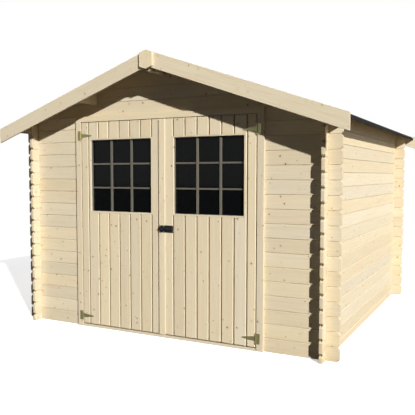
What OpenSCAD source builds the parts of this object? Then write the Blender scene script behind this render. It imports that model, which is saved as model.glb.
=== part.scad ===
// Garden shed of interlocking planks, with a ridged felt roof and glazed double doors.
// X runs along the front, Y into the building and Z up. The origin lies on the ground
// under the middle of the whole outline.

/* [Planks] */
// Visible height of one wall plank
plank_h = 112; // [104:1:120]
// Thickness of a wall plank
plank_t = 28; // [24:1:40]
// Whole planks from the ground to the top of the crossing corners
corner_planks = 16; // [15:1:17]
// Depth of the V joint between two planks
joint_depth = 4; // [2:0.5:6]
// Cut taken off each corner of a plank's free end
end_clip = 18; // [8:1:24]
// Length of the front and back planks beyond the side walls
side_tail = 105; // [70:1:140]
// Length of the side planks beyond the front and back walls
front_tail = 88; // [60:1:130]

/* [House] */
// Width over the outer faces of the side walls
house_w = 2810; // [2600:10:3200]
// Depth over the outer faces of the front and back walls
house_d = 2820; // [2400:10:3600]
// Thickness of the floor boards
floor_t = 20; // [16:1:28]

/* [Roof] */
// Slope of the roof in degrees
roof_angle = 19.3; // [17:0.1:22]
// Thickness of the roof boards
roof_board_t = 18; // [16:1:24]
// Roof overhang in front of the front wall
front_overhang = 232; // [150:1:300]
// Roof overhang behind the back wall
back_overhang = 118; // [95:1:250]
// Distance from the ridge line to the eave, measured level
eave_reach = 1574; // [1540:1:1700]
// Thickness of the roofing felt
felt_t = 3; // [2:0.5:5]
// Height of the felt folded down at the eave
felt_fold = 30; // [24:1:40]
// Width of a gable fascia board, square to its length
fascia_w = 120; // [90:1:150]
// Thickness of a gable fascia board
fascia_t = 18; // [14:1:24]
// Height of the fascia above the felt
fascia_lip = 10; // [0:1:20]
// Level run of the fascia past the eave
fascia_tail = 42; // [0:1:80]
// Width of the cover plate over the fascia joint
ridge_plate_w = 122; // [90:1:180]
// Thickness of the cover plate
ridge_plate_t = 20; // [12:1:26]
// Height of the cover plate's straight sides
ridge_plate_side = 108; // [80:1:140]
// Width of the ridge beam
ridge_beam_w = 45; // [35:1:70]
// Depth of the ridge beam at its middle
ridge_beam_h = 130; // [100:1:180]
// Width of a side purlin
purlin_w = 40; // [30:1:60]
// Depth of a side purlin at its middle
purlin_h = 88; // [60:1:120]

/* [Door frame] */
// Clear width between the door posts
doorway_w = 1714; // [1500:2:1760]
// Planks from the ground to the top of the door head
door_planks = 17; // [16:1:17]
// Face width of a door post
post_w = 55; // [45:1:70]
// How far the frame stands out from both wall faces
frame_proud = 22; // [14:1:30]
// Depth of the groove in the post that takes the planks
post_groove = 20; // [12:1:30]
// Face height of the door head
head_h = 49; // [36:1:60]
// Height of the door sill
sill_h = 20; // [16:1:28]
// How far the stop behind the leaves reaches inwards
stop_reach = 12; // [8:1:16]

/* [Door leaves] */
// Gap between a leaf and what surrounds it
leaf_gap = 5; // [5:0.5:8]
// Thickness of the leaf boards
leaf_t = 20; // [16:1:26]
// Pitch of the upright boards in a leaf
board_pitch = 111; // [95:1:125]
// Width of the strip that covers the meeting edges
cover_strip_w = 56; // [40:1:70]
// Thickness of the cover strip
cover_strip_t = 8; // [6:1:20]
// Side of the square window opening
window_side = 632; // [520:1:640]
// Height of the window's lower edge above the ground
window_z = 1059; // [980:1:1090]
// Plain band between the window and the board joints
window_band = 14; // [8:1:24]
// Thickness of the rails on the back of a leaf
ledge_t = 20; // [16:1:26]
// Height of a rail on the back of a leaf
ledge_h = 90; // [60:1:110]
// Face width of the frame around the glass
window_frame_w = 36; // [26:1:44]
// Thickness of the glass
glass_t = 3; // [3:0.5:5]
// Set-back of the glass behind the face of the leaf
glass_setback = 32; // [22:0.5:32.5]
// Depth of the groove that holds the glass
glass_groove = 9; // [5:1:12]

/* [Ironwork] */
// Radius of a hinge knuckle
knuckle_r = 5; // [4:0.25:6]
// Radius of a hinge pin
pin_r = 2.5; // [2:0.25:3]
// Thickness of the hinge plates and straps
hinge_t = 2.5; // [2:0.25:3]
// Height of the hinge plate on the post
hinge_plate_h = 84; // [76:1:110]
// Width of the hinge plate on the post
hinge_plate_w = 32; // [28:1:48]
// Height of the strap at its root
strap_root_h = 42; // [32:1:50]
// Length of the strap from the pin to its tip
strap_len = 122; // [90:1:150]
// Height of the upper hinge's middle above the ground
upper_hinge_z = 1734; // [1650:1:1760]
// Height of the lower hinge's middle above the ground
lower_hinge_z = 100; // [80:1:180]
// Height of the bolt's middle above the ground
bolt_z = 930; // [800:1:980]
// Radius of the bolt
bolt_r = 6; // [4:0.5:7]
// Length of the bolt
bolt_len = 132; // [110:1:140]
// Length of the bolt's back plate
bolt_plate_w = 74; // [56:1:80]
// Height of the bolt's back plate
bolt_plate_h = 60; // [44:1:66]
// Length of the guide plate on the cover strip
bolt_guide_w = 56; // [36:1:56]
// Height of the guide plate on the cover strip
bolt_guide_h = 60; // [36:1:66]

/* [Hidden] */
$fn = 48;

far = 6000;               // longer than any piece, for cutting bodies
bore_gap = 0.05;          // running clearance of a hinge pin in its knuckle
seat_gap = 0.3;           // clearance of a loose part in its seat
knuckle_gap = 0.5;        // clearance between knuckles, and from the faces behind them
slope = tan(roof_angle);
half_w = house_w / 2;
side_top_z = (corner_planks + 0.5) * plank_h;      // roof underside over the side wall's face
apex_z = side_top_z + slope * half_w;              // roof underside at the ridge line
gable_z = door_planks * plank_h;                   // foot of the gable
corner_z = corner_planks * plank_h;                // top of the crossing corners
front_y = -(house_d + back_overhang - front_overhang) / 2;   // front wall's outer face
board_rise = roof_board_t / cos(roof_angle);       // upright thickness of the sloping layers
felt_rise = felt_t / cos(roof_angle);
fascia_rise = fascia_w / cos(roof_angle);
fascia_top_z = apex_z + board_rise + felt_rise + fascia_lip;
fascia_reach = eave_reach + fascia_tail;
roof_front_y = -front_overhang;
roof_back_y = house_d + back_overhang;
purlin_x = half_w / 2;

half_door = doorway_w / 2;
frame_x = half_door + post_w;                      // outer edge of a door post
face_y = -frame_proud;                             // face of the posts and leaves
head_z = gable_z - head_h;
leaf_x = half_door - leaf_gap;                     // hinged edge of a leaf
leaf_z0 = sill_h + leaf_gap;
leaf_z1 = head_z - leaf_gap;
leaf_back_y = face_y + leaf_t;
stop_y = leaf_back_y + leaf_gap;
meet_right_x = -cover_strip_w / 2;                 // free edge of the right leaf
meet_left_x = meet_right_x - leaf_gap;             // free edge of the left leaf
window_x = half_door / 2;                          // middle of a window, left and right
window_mid_z = window_z + window_side / 2;
ledge_inset = stop_reach + 2 * leaf_gap + 4;       // rails stay clear of the stops
pin_x = half_door - leaf_gap / 2;                  // hinge line, over the gap beside the leaf
pin_y = face_y - knuckle_r - knuckle_gap;
strap_tip_r = 5;
cover_y = face_y - cover_strip_t;
bolt_y = cover_y - hinge_t - bolt_r - 1;           // middle of the bolt
bolt_x0 = meet_right_x - 1;                        // tip of the bolt
guide_w = 12;                                      // width of a guide over the bolt
plate_gap = 2;                                     // gap between the strip and the plate
plate_x0 = meet_right_x + cover_strip_w + plate_gap;   // plate's edge beside the strip
plate_x1 = plate_x0 + bolt_plate_w;
knob_r = 5;

pine = [0.89, 0.82, 0.66];
lit_pine = [0.93, 0.87, 0.72];
felt_black = [0.12, 0.12, 0.13];
glass_tint = [0.10, 0.11, 0.12];
plated = [0.53, 0.53, 0.36];
black_iron = [0.14, 0.13, 0.13];

// ---- Frames of reference -------------------------------------------------------

// Moves a piece drawn from the front wall's outer face to its place
module sited() { translate([0, front_y, 0]) children(); }

// Extrudes an X-Z drawing along Y, from y0 to y1
module along_y(y0, y1) {
    translate([0, y1, 0]) rotate([90, 0, 0]) linear_extrude(y1 - y0) children();
}

// Extrudes a Y-Z drawing along X, from x0 to x1
module along_x(x0, x1) {
    translate([x0, 0, 0]) rotate([90, 0, 90]) linear_extrude(x1 - x0) children();
}

// A block between two corners
module block(low, high) { translate(low) cube(high - low); }

// ---- Planks --------------------------------------------------------------------

// Y-Z section of stacked planks: a slab with a V on both faces at every joint.
// first is the height of the lowest joint.
module plank_section(first, z1) {
    joints = [for (z = first; z < z1 - joint_depth; z = z + plank_h) z];
    outer = [for (z = joints) each [[0, z - joint_depth], [joint_depth, z],
                                    [0, z + joint_depth]]];
    inner = [for (i = [len(joints) - 1 : -1 : 0])
                each [[plank_t, joints[i] + joint_depth],
                      [plank_t - joint_depth, joints[i]],
                      [plank_t, joints[i] - joint_depth]]];
    polygon(concat([[0, 0]], outer, [[0, z1], [plank_t, z1]], inner, [[plank_t, 0]]));
}

// Plank ends in elevation: one side of a wall, with both corners of every plank clipped.
// Runs from u = 0 outwards to u = reach; z_list holds the heights of the joints.
function clipped_ends(reach, z_list) =
    [for (z = z_list) each [[reach, z - end_clip], [reach - end_clip, z],
                            [reach, z + end_clip]]];

// Holes in elevation where the crossing wall's planks pass: half a plank high, centred on
// this wall's joints. u is the inner edge of the crossing.
module crossings(u, z_list) {
    for (z = z_list) translate([u, z - plank_h / 4]) square([plank_t, plank_h / 2]);
}

function joint_heights(first, last) = [for (z = first; z <= last; z = z + plank_h) z];

front_joints = joint_heights(0, corner_z);
side_joints = joint_heights(plank_h / 2, side_top_z - plank_h);

// Half of the front elevation, right of the middle, with its roof line
module front_half_outline() {
    reach = half_w + side_tail;
    inner_joints = [for (z = front_joints) if (z > 0 && z < corner_z) z];
    polygon(concat([[0, 0], [reach - end_clip, 0], [reach, end_clip]],
                   clipped_ends(reach, inner_joints),
                   [[reach, corner_z - end_clip], [reach - end_clip, corner_z],
                    [half_w, corner_z], [half_w, side_top_z], [0, apex_z]]));
}

// Front or back elevation: notched for the side walls at both corners, and open above the
// last notch, where the side walls' top plank runs through up to the roof
module front_outline() {
    for (side = [0, 1]) mirror([side, 0]) difference() {
        front_half_outline();
        crossings(half_w - plank_t, front_joints);
        translate([half_w - plank_t, corner_z]) square([plank_t, far]);
    }
}

// Whole wall across the house, with its outer face at y = 0 and the V joints on both faces
module cross_wall() {
    intersection() {
        along_y(0, plank_t) front_outline();
        along_x(-far / 2, far / 2) plank_section(plank_h, apex_z + plank_h);
    }
}

// Side elevation from the middle of the wall to its front end, drawn towards +u
module side_half_outline() {
    reach = house_d / 2 + front_tail;
    polygon(concat([[0, 0], [reach, 0]], clipped_ends(reach, side_joints),
                   [[reach, apex_z], [0, apex_z]]));
}

// The side wall at the right, with its outer face at x = half_w
module side_wall() {
    intersection() {
        translate([0, house_d / 2, 0]) along_x(half_w - plank_t, half_w)
            for (side = [0, 1]) mirror([side, 0]) difference() {
                side_half_outline();
                crossings(house_d / 2 - plank_t, side_joints);
            }
        translate([half_w - plank_t, 0, 0]) rotate([0, 0, 90]) mirror([0, 1, 0])
            along_x(-far, far) plank_section(plank_h / 2, side_top_z + plank_h);
        under_roof(-far, far);
    }
}

// Everything below the roof boards
module under_roof(y0, y1) {
    along_y(y0, y1) polygon([[-far, -1], [far, -1], [far, apex_z - slope * far],
                             [0, apex_z], [-far, apex_z - slope * far]]);
}

// ---- Walls ---------------------------------------------------------------------

module front_wall_side() {
    intersection() {
        cross_wall();
        block([frame_x - post_groove, -1, -1], [far, plank_t + 1, gable_z]);
    }
}

module gable() {
    difference() {
        intersection() {
            cross_wall();
            block([-far, -1, gable_z], [far, plank_t + 1, far]);
        }
        roof_timber_cuts();
    }
}

// Room for the ridge beam and the purlins
module roof_timber_cuts() {
    block([-ridge_beam_w / 2, -far, apex_z - ridge_beam_h], [ridge_beam_w / 2, far, far]);
    for (side = [-1, 1]) translate([side * purlin_x, 0, 0])
        block([-purlin_w / 2, -far, purlin_z], [purlin_w / 2, far, far]);
}
purlin_z = apex_z - slope * purlin_x - purlin_h;

module front_wall_left() { color(pine) sited() mirror([1, 0, 0]) front_wall_side(); }
module front_wall_right() { color(pine) sited() front_wall_side(); }
module front_gable() { color(pine) sited() gable(); }

// The back wall faces the other way, so it is the front turned about the house's middle
module at_back() { translate([0, house_d, 0]) mirror([0, 1, 0]) children(); }

module back_wall() {
    color(pine) sited() at_back() intersection() {
        cross_wall();
        block([-far, -1, -1], [far, plank_t + 1, gable_z]);
    }
}
module back_gable() { color(pine) sited() at_back() gable(); }
module right_wall() { color(lit_pine) sited() side_wall(); }
module left_wall() { color(pine) sited() mirror([1, 0, 0]) side_wall(); }

module floor() {
    room_x = half_w - plank_t;
    post_back_y = plank_t + frame_proud;
    color(pine) sited() difference() {
        block([-room_x, plank_t, 0], [room_x, house_d - plank_t, floor_t]);
        block([-frame_x, 0, -1], [frame_x, post_back_y, floor_t + 1]);
    }
}

// ---- Roof ----------------------------------------------------------------------

// A beam under the roof boards with its top planed to the slope
module roof_timber(x, w, z0) {
    intersection() {
        block([x - w / 2, roof_front_y, z0], [x + w / 2, roof_back_y, far]);
        under_roof(roof_front_y - 1, roof_back_y + 1);
    }
}

module ridge_beam() { color(pine) sited() roof_timber(0, ridge_beam_w, apex_z - ridge_beam_h); }
module right_purlin() { color(pine) sited() roof_timber(purlin_x, purlin_w, purlin_z); }
module left_purlin() { color(pine) sited() roof_timber(-purlin_x, purlin_w, purlin_z); }

// One roof slope in X-Z: the layer from low to high above the timbers, plumb cut at the eave
module slope_layer(low, high, reach) {
    polygon([[0, apex_z + low], [reach, apex_z + low - slope * reach],
             [reach, apex_z + high - slope * reach], [0, apex_z + high]]);
}

module roof_boards() {
    along_y(roof_front_y, roof_back_y) slope_layer(0, board_rise, eave_reach - felt_t);
}

// The felt lies on the boards and folds down over their edge
module roof_felt() {
    fold_top = apex_z + board_rise + felt_rise - slope * eave_reach;
    along_y(roof_front_y, roof_back_y) union() {
        slope_layer(board_rise, board_rise + felt_rise, eave_reach);
        translate([eave_reach - felt_t, fold_top - felt_fold])
            square([felt_t, felt_fold - felt_rise]);
    }
}

// Gable fascia: a sloping board with a plumb joint at the ridge and a plumb end
module fascia(y0) {
    low = fascia_top_z - fascia_rise;
    along_y(y0, y0 + fascia_t)
        polygon([[0, low], [fascia_reach, low - slope * fascia_reach],
                 [fascia_reach, fascia_top_z - slope * fascia_reach], [0, fascia_top_z]]);
}

// Six-sided cover over the fascia joint: its top follows the roof, its foot is the reverse
module ridge_plate(y0) {
    half = ridge_plate_w / 2;
    shoulder_z = fascia_top_z - slope * half;
    foot_z = shoulder_z - ridge_plate_side;
    along_y(y0, y0 + ridge_plate_t)
        polygon([[0, fascia_top_z], [half, shoulder_z], [half, foot_z],
                 [0, foot_z - slope * half], [-half, foot_z], [-half, shoulder_z]]);
}

module roof_boards_right() { color(pine) sited() roof_boards(); }
module roof_boards_left() { color(pine) sited() mirror([1, 0, 0]) roof_boards(); }
module roof_felt_right() { color(felt_black) sited() roof_felt(); }
module roof_felt_left() { color(felt_black) sited() mirror([1, 0, 0]) roof_felt(); }
module front_fascia_right() { color(pine) sited() fascia(roof_front_y - fascia_t); }
module front_fascia_left() {
    color(pine) sited() mirror([1, 0, 0]) fascia(roof_front_y - fascia_t);
}
module back_fascia_right() { color(pine) sited() fascia(roof_back_y); }
module back_fascia_left() { color(pine) sited() mirror([1, 0, 0]) fascia(roof_back_y); }
module front_ridge_plate() {
    color(pine) sited() ridge_plate(roof_front_y - fascia_t - ridge_plate_t);
}
module back_ridge_plate() { color(pine) sited() ridge_plate(roof_back_y + fascia_t); }

// ---- Door frame ----------------------------------------------------------------

// Post at the right: grooved for the wall planks, and rebated as a stop for the leaf
module door_post() {
    post_back_y = plank_t + frame_proud;
    linear_extrude(gable_z) difference() {
        union() {
            translate([half_door, face_y]) square([post_w, post_back_y - face_y]);
            translate([half_door - stop_reach, stop_y])
                square([post_w, post_back_y - stop_y]);
        }
        translate([frame_x - post_groove, 0]) square([far, plank_t]);
    }
}

module right_door_post() { color(pine) sited() door_post(); }
module left_door_post() { color(pine) sited() mirror([1, 0, 0]) door_post(); }

module door_head() {
    post_back_y = plank_t + frame_proud;
    inner_x = half_door - stop_reach;
    color(pine) sited() union() {
        block([-half_door, face_y, head_z], [half_door, stop_y, gable_z]);
        block([-inner_x, stop_y, head_z - stop_reach], [inner_x, post_back_y, gable_z]);
    }
}

module door_sill() {
    post_back_y = plank_t + frame_proud;
    inner_x = half_door - stop_reach;
    color(pine) sited() union() {
        block([-half_door, face_y, 0], [half_door, stop_y, sill_h]);
        block([-inner_x, stop_y, 0], [inner_x, post_back_y, sill_h]);
    }
}

// ---- Door leaves ---------------------------------------------------------------

// Upright V joints between the boards of a leaf, stopped short of the ends and the window
module board_joints(x0, x1) {
    band_low = window_z - window_band;
    band_high = window_z + window_side + window_band;
    joint_w = joint_depth * 2;
    for (side = [-1, 1], i = [1 : floor(half_door / board_pitch)]) {
        x = side * (i * board_pitch - leaf_gap);
        if (x > x0 + joint_w && x < x1 - joint_w) {
            stile = abs(abs(x) - window_x) > window_side / 2 + joint_depth;
            if (stile) board_joint(x, leaf_z0 - 1, leaf_z1 + 1);
            else {
                board_joint(x, leaf_z0 - 1, band_low);
                board_joint(x, band_high, leaf_z1 + 1);
            }
        }
    }
}

module board_joint(x, z0, z1) {
    translate([x, face_y, z0]) linear_extrude(z1 - z0)
        polygon([[-joint_depth, -0.01], [joint_depth, -0.01], [0, joint_depth]]);
}

// Boards of one leaf from x0 to x1, with the square window opening
module leaf(x0, x1, window_mid_x) {
    half = window_side / 2;
    difference() {
        block([x0, face_y, leaf_z0], [x1, leaf_back_y, leaf_z1]);
        board_joints(x0, x1);
        block([window_mid_x - half, face_y - 1, window_z],
              [window_mid_x + half, leaf_back_y + 1, window_z + window_side]);
    }
}

// Two rails on the back of a leaf
module ledges(x0, x1) {
    for (z = [leaf_z0 + ledge_h, window_z - window_frame_w - 2 * ledge_h])
        block([x0 + ledge_inset, leaf_back_y, z],
              [x1 - ledge_inset, leaf_back_y + ledge_t, z + ledge_h]);
}

// Frame on the back of the leaf around the window, grooved for the glass
module window_frame(window_mid_x) {
    glass_y = face_y + glass_setback;
    translate([window_mid_x, 0, window_mid_z]) difference() {
        frame_slab(window_side + 2 * window_frame_w, leaf_back_y, leaf_back_y + ledge_t);
        frame_slab(window_side, leaf_back_y - 1, leaf_back_y + ledge_t + 1);
        frame_slab(window_side + 2 * glass_groove, glass_y - seat_gap / 2,
                   glass_y + glass_t + seat_gap / 2);
    }
}

module glass(window_mid_x) {
    glass_y = face_y + glass_setback;
    translate([window_mid_x, 0, window_mid_z])
        frame_slab(window_side + 2 * glass_groove - 2 * seat_gap, glass_y, glass_y + glass_t);
}

// A square slab about the middle of the window, from y0 to y1
module frame_slab(side, y0, y1) {
    block([-side / 2, y0, -side / 2], [side / 2, y1, side / 2]);
}

module left_leaf() { color(pine) sited() leaf(-leaf_x, meet_left_x, -window_x); }
module right_leaf() { color(pine) sited() leaf(meet_right_x, leaf_x, window_x); }
module left_ledges() { color(pine) sited() ledges(-leaf_x, meet_left_x); }
module right_ledges() { color(pine) sited() ledges(meet_right_x, leaf_x); }
module left_window_frame() { color(pine) sited() window_frame(-window_x); }
module right_window_frame() { color(pine) sited() window_frame(window_x); }
module left_glass() { color(glass_tint) sited() glass(-window_x); }
module right_glass() { color(glass_tint) sited() glass(window_x); }

module cover_strip() {
    color(pine) sited() block([meet_right_x, cover_y, leaf_z0],
                              [meet_right_x + cover_strip_w, face_y, leaf_z1]);
}

// ---- Ironwork ------------------------------------------------------------------

// Right-hand hinge plate about its pin: flat on the post, with a knuckle at each end
module hinge_plate() {
    half = hinge_plate_h / 2;
    end_h = (hinge_plate_h - strap_root_h) / 2 - knuckle_gap;
    back_y = face_y - pin_y;
    block([knuckle_r + knuckle_gap, back_y - hinge_t, -half], [hinge_plate_w, back_y, half]);
    for (z = [-half, half - end_h]) {
        block([0, back_y - hinge_t, z], [hinge_plate_w, back_y, z + end_h]);
        translate([0, 0, z]) cylinder(r = knuckle_r, h = end_h);
    }
    translate([0, 0, -half]) cylinder(r = pin_r, h = hinge_plate_h);
}

// Left-pointing strap about the pin: a knuckle with a plate that tapers to a round tip
module hinge_strap() {
    half = strap_root_h / 2;
    back_y = face_y - pin_y;
    difference() {
        union() {
            translate([0, back_y, 0]) rotate([90, 0, 0]) linear_extrude(hinge_t) union() {
                polygon([[0, -half], [0, half], [strap_tip_r - strap_len, strap_tip_r],
                         [strap_tip_r - strap_len, -strap_tip_r]]);
                translate([strap_tip_r - strap_len, 0]) circle(r = strap_tip_r);
            }
            translate([0, 0, -half]) cylinder(r = knuckle_r, h = strap_root_h);
        }
        translate([0, 0, -half - 1]) cylinder(r = pin_r + bore_gap, h = strap_root_h + 2);
    }
}

// Both hinge heights at one side: a hinge turned over fits the other side
module at_right_hinges() {
    for (z = [lower_hinge_z, upper_hinge_z]) translate([pin_x, pin_y, z]) children();
}
module at_left_hinges() {
    for (z = [lower_hinge_z, upper_hinge_z])
        translate([-pin_x, pin_y, z]) rotate([0, 180, 0]) children();
}

module right_hinge_plates() { color(plated) sited() at_right_hinges() hinge_plate(); }
module left_hinge_plates() { color(plated) sited() at_left_hinges() hinge_plate(); }
module right_hinge_straps() { color(plated) sited() at_right_hinges() hinge_strap(); }
module left_hinge_straps() { color(plated) sited() at_left_hinges() hinge_strap(); }

// Back plate of the bolt on the leaf, with a bored guide at each end
module bolt_plate() {
    half = bolt_plate_h / 2;
    color(black_iron) sited() difference() {
        union() {
            block([plate_x0, face_y - hinge_t, bolt_z - half],
                  [plate_x1, face_y, bolt_z + half]);
            for (x = [plate_x0, plate_x1 - guide_w])
                block([x, bolt_y - bolt_r - hinge_t, bolt_z - bolt_r - hinge_t],
                      [x + guide_w, face_y, bolt_z + bolt_r + hinge_t]);
        }
        translate([0, bolt_y, bolt_z]) rotate([0, 90, 0])
            cylinder(r = bolt_r + seat_gap, h = far);
    }
}

module door_bolt() {
    knob_x = plate_x1 - guide_w - knob_r - plate_gap;
    color(black_iron) sited() union() {
        translate([bolt_x0, bolt_y, bolt_z]) rotate([0, 90, 0])
            cylinder(r = bolt_r, h = bolt_len);
        translate([knob_x, bolt_y, bolt_z]) rotate([90, 0, 0])
            cylinder(r = knob_r, h = bolt_r + 2 * knob_r);
    }
}

// Guide on the cover strip that carries the bolt's tip
module bolt_guide() {
    half = bolt_r + hinge_t;
    mid_x = meet_right_x + cover_strip_w / 2;
    color(black_iron) sited() difference() {
        union() {
            block([mid_x - bolt_guide_w / 2, cover_y - hinge_t, bolt_z - bolt_guide_h / 2],
                  [mid_x + bolt_guide_w / 2, cover_y, bolt_z + bolt_guide_h / 2]);
            block([mid_x - guide_w / 2, bolt_y - half, bolt_z - half],
                  [mid_x + guide_w / 2, cover_y, bolt_z + half]);
        }
        translate([mid_x - bolt_guide_w / 2 - 1, bolt_y, bolt_z]) rotate([0, 90, 0])
            cylinder(r = bolt_r + seat_gap, h = bolt_guide_w + 2);
    }
}

front_wall_left();
front_wall_right();
front_gable();
back_wall();
back_gable();
left_wall();
right_wall();
floor();
ridge_beam();
left_purlin();
right_purlin();
roof_boards_left();
roof_boards_right();
roof_felt_left();
roof_felt_right();
front_fascia_left();
front_fascia_right();
back_fascia_left();
back_fascia_right();
front_ridge_plate();
back_ridge_plate();
left_door_post();
right_door_post();
door_head();
door_sill();
left_hinge_plates();
right_hinge_plates();
left_leaf();
left_ledges();
left_window_frame();
left_glass();
left_hinge_straps();
right_leaf();
right_ledges();
right_window_frame();
right_glass();
right_hinge_straps();
cover_strip();
bolt_plate();
door_bolt();
bolt_guide();
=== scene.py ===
"""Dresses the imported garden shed: planks and boards one by one, felt, glazing bars,
ironwork and finishes, on a plain studio stage.

Laid out as a Blender add-on. Every length is in metres, in the frame of the CAD model.
"""

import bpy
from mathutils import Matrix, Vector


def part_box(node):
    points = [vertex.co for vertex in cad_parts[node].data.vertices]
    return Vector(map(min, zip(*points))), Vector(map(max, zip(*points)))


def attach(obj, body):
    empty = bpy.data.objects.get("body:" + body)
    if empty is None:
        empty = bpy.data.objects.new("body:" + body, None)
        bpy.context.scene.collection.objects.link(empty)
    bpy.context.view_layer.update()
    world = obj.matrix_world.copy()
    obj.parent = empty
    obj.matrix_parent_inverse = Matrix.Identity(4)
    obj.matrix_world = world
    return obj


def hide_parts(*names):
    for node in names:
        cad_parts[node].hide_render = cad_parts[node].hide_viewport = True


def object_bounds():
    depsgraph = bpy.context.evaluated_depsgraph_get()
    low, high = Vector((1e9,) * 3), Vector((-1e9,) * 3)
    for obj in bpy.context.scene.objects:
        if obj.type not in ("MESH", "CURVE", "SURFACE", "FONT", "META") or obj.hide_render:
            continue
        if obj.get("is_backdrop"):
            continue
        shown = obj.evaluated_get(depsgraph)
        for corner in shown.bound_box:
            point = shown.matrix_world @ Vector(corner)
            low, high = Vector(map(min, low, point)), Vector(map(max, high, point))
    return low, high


bl_info = {
    "name": "Plank Garden Shed",
    "version": (1, 0, 0),
    "blender": (4, 5, 0),
    "location": "3D View > Sidebar > Shed",
    "description": "Builds the planks, boards, felt, glazing bars and ironwork of a shed",
    "category": "Object",
}

import math

import bpy
import numpy as np
from bpy.props import FloatProperty, FloatVectorProperty, IntProperty, PointerProperty
from mathutils import Vector

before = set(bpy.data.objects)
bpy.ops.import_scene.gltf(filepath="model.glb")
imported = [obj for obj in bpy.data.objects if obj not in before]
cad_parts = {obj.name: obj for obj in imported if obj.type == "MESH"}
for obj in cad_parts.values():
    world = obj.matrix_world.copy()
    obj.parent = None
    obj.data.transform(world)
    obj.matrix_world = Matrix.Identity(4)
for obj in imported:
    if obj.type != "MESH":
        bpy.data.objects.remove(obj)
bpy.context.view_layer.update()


# ---- Sizes read from the CAD model -------------------------------------------------


def corners(node):
    """Lowest and highest corner of a CAD node, as arrays."""
    low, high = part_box(node)
    return np.array(low), np.array(high)


X, Y, Z = np.eye(3)
SIDES = (("left", -1), ("right", 1))                 # each with its sign of X

WALL_LOW, WALL_HIGH = corners("left_wall")
HALF_W = -WALL_LOW[0]                                # to the side walls' outer faces
PLANK_T = WALL_HIGH[0] - WALL_LOW[0]
FRONT_END, BACK_END = WALL_LOW[1], WALL_HIGH[1]      # ends of the side planks
POST_X, FRONT_Y = corners("front_wall_right")[0][:2] # plank ends in the posts; face
REACH_X, BACK_Y = corners("back_wall")[1][:2]        # ends of the back planks; face
GABLE_Z = corners("front_gable")[0][2]
PLANKS_TO_GABLE = 17
CORNER_PLANKS = 16
PLANK_H = GABLE_Z / PLANKS_TO_GABLE
CORNER_Z = CORNER_PLANKS * PLANK_H

APEX_Z = corners("ridge_beam")[1][2]                 # underside of the roof at the ridge
ROOF_LOW, ROOF_HIGH = corners("roof_boards_right")
ROOF_Y0, ROOF_Y1 = ROOF_LOW[1], ROOF_HIGH[1]
ROOF_TOP = ROOF_HIGH[2] * Z                          # top of the boards at the ridge
BOARD_RISE = ROOF_HIGH[2] - APEX_Z                   # upright thickness of the roof boards
SLOPE = (APEX_Z - ROOF_LOW[2]) / ROOF_HIGH[0]
ANGLE = math.atan(SLOPE)
COS, SIN = math.cos(ANGLE), math.sin(ANGLE)
SLOPE_LENGTH = ROOF_HIGH[0] / COS

# ---- Sizes that the pieces share -----------------------------------------------------

PLAY = 0.0002               # how far planks stand forward or back of each other
FINE_ARRIS = 0.0006         # rounding of a machined edge
THIN_ARRIS = 0.0005         # rounding of a lining, and of the ends of head and sill
BEAM_ARRIS = 0.002          # rounding of a planed beam or fascia
FRAME_ARRIS = 0.0016        # rounding of the door frame's bars
NEAR = 1e-6                 # points nearer than this are one


# ---- Settings ------------------------------------------------------------------------


def srgb(red, green, blue):
    """Linear colour from a colour given as 0 to 255 on a screen."""
    share = np.array([red, green, blue]) / 255.0
    low = share / 12.92
    high = ((share + 0.055) / 1.055) ** 2.4
    return tuple(float(v) for v in np.where(share <= 0.04045, low, high))


def colour_setting(name, description, *screen):
    """A colour, its default given as 0 to 255 on a screen."""
    return FloatVectorProperty(name=name, description=description, default=srgb(*screen),
                               subtype="COLOR", size=3, min=0.0, max=1.0)


def length_setting(name, description, default):
    """A length in metres."""
    return FloatProperty(name=name, description=description, default=default,
                         unit="LENGTH", subtype="DISTANCE", min=0.0)


def strength_setting(name, description, default, **limits):
    """A number from 0 up."""
    return FloatProperty(name=name, description=description, default=default, min=0.0,
                         **limits)


def angle_setting(name, description, degrees):
    """An angle, its default given in degrees."""
    return FloatProperty(name=name, description=description, subtype="ANGLE",
                         unit="ROTATION", default=math.radians(degrees))


def vector_setting(name, description, default, **kind):
    """A place, a direction or a shift."""
    return FloatVectorProperty(name=name, description=description, default=default,
                               size=len(default), **kind)


class ShedTimberSettings(bpy.types.PropertyGroup):
    """Planks, boards and the pine they are cut from."""

    joint: length_setting("Joint depth", "Depth of the V between two planks", 0.004)
    arris: length_setting("Arris", "Rounding of a sawn edge", 0.0012)
    end_clip: length_setting("End clip", "Cut off each corner of a plank's end", 0.018)
    pocket: length_setting("End pocket", "Length of the hollow between two plank ends", 0.014)
    floor_board: length_setting("Floor board", "Pitch of the floor boards", 0.112)
    roof_board: length_setting("Roof board", "Pitch of the roof boards", 0.0932)
    leaf_board: length_setting("Door board", "Pitch of the upright boards", 0.111)
    leaf_groove: length_setting("Door groove", "Half the width of a door's grooves", 0.0090)
    leaf_foot: length_setting("Door foot", "Cut off the feet of the door boards", 0.006)
    window_band: length_setting("Window band", "Flush frame round a window", 0.014)
    pine_light: colour_setting("Pine", "Early wood of the planed pine", 222, 209, 180)
    pine_dark: colour_setting("Pine rings", "Late wood of the planed pine", 202, 176, 136)
    pine_pink: colour_setting("Pine blush", "Reddish parts of the boards", 216, 174, 146)
    knot: colour_setting("Knots", "Heart of a knot", 94, 70, 48)
    bar_light: colour_setting("Glazing bars", "Grey stain of the glazing bars", 106, 101, 89)
    seed: IntProperty(name="Seed", description="Choice of boards", default=7, min=0)


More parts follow.
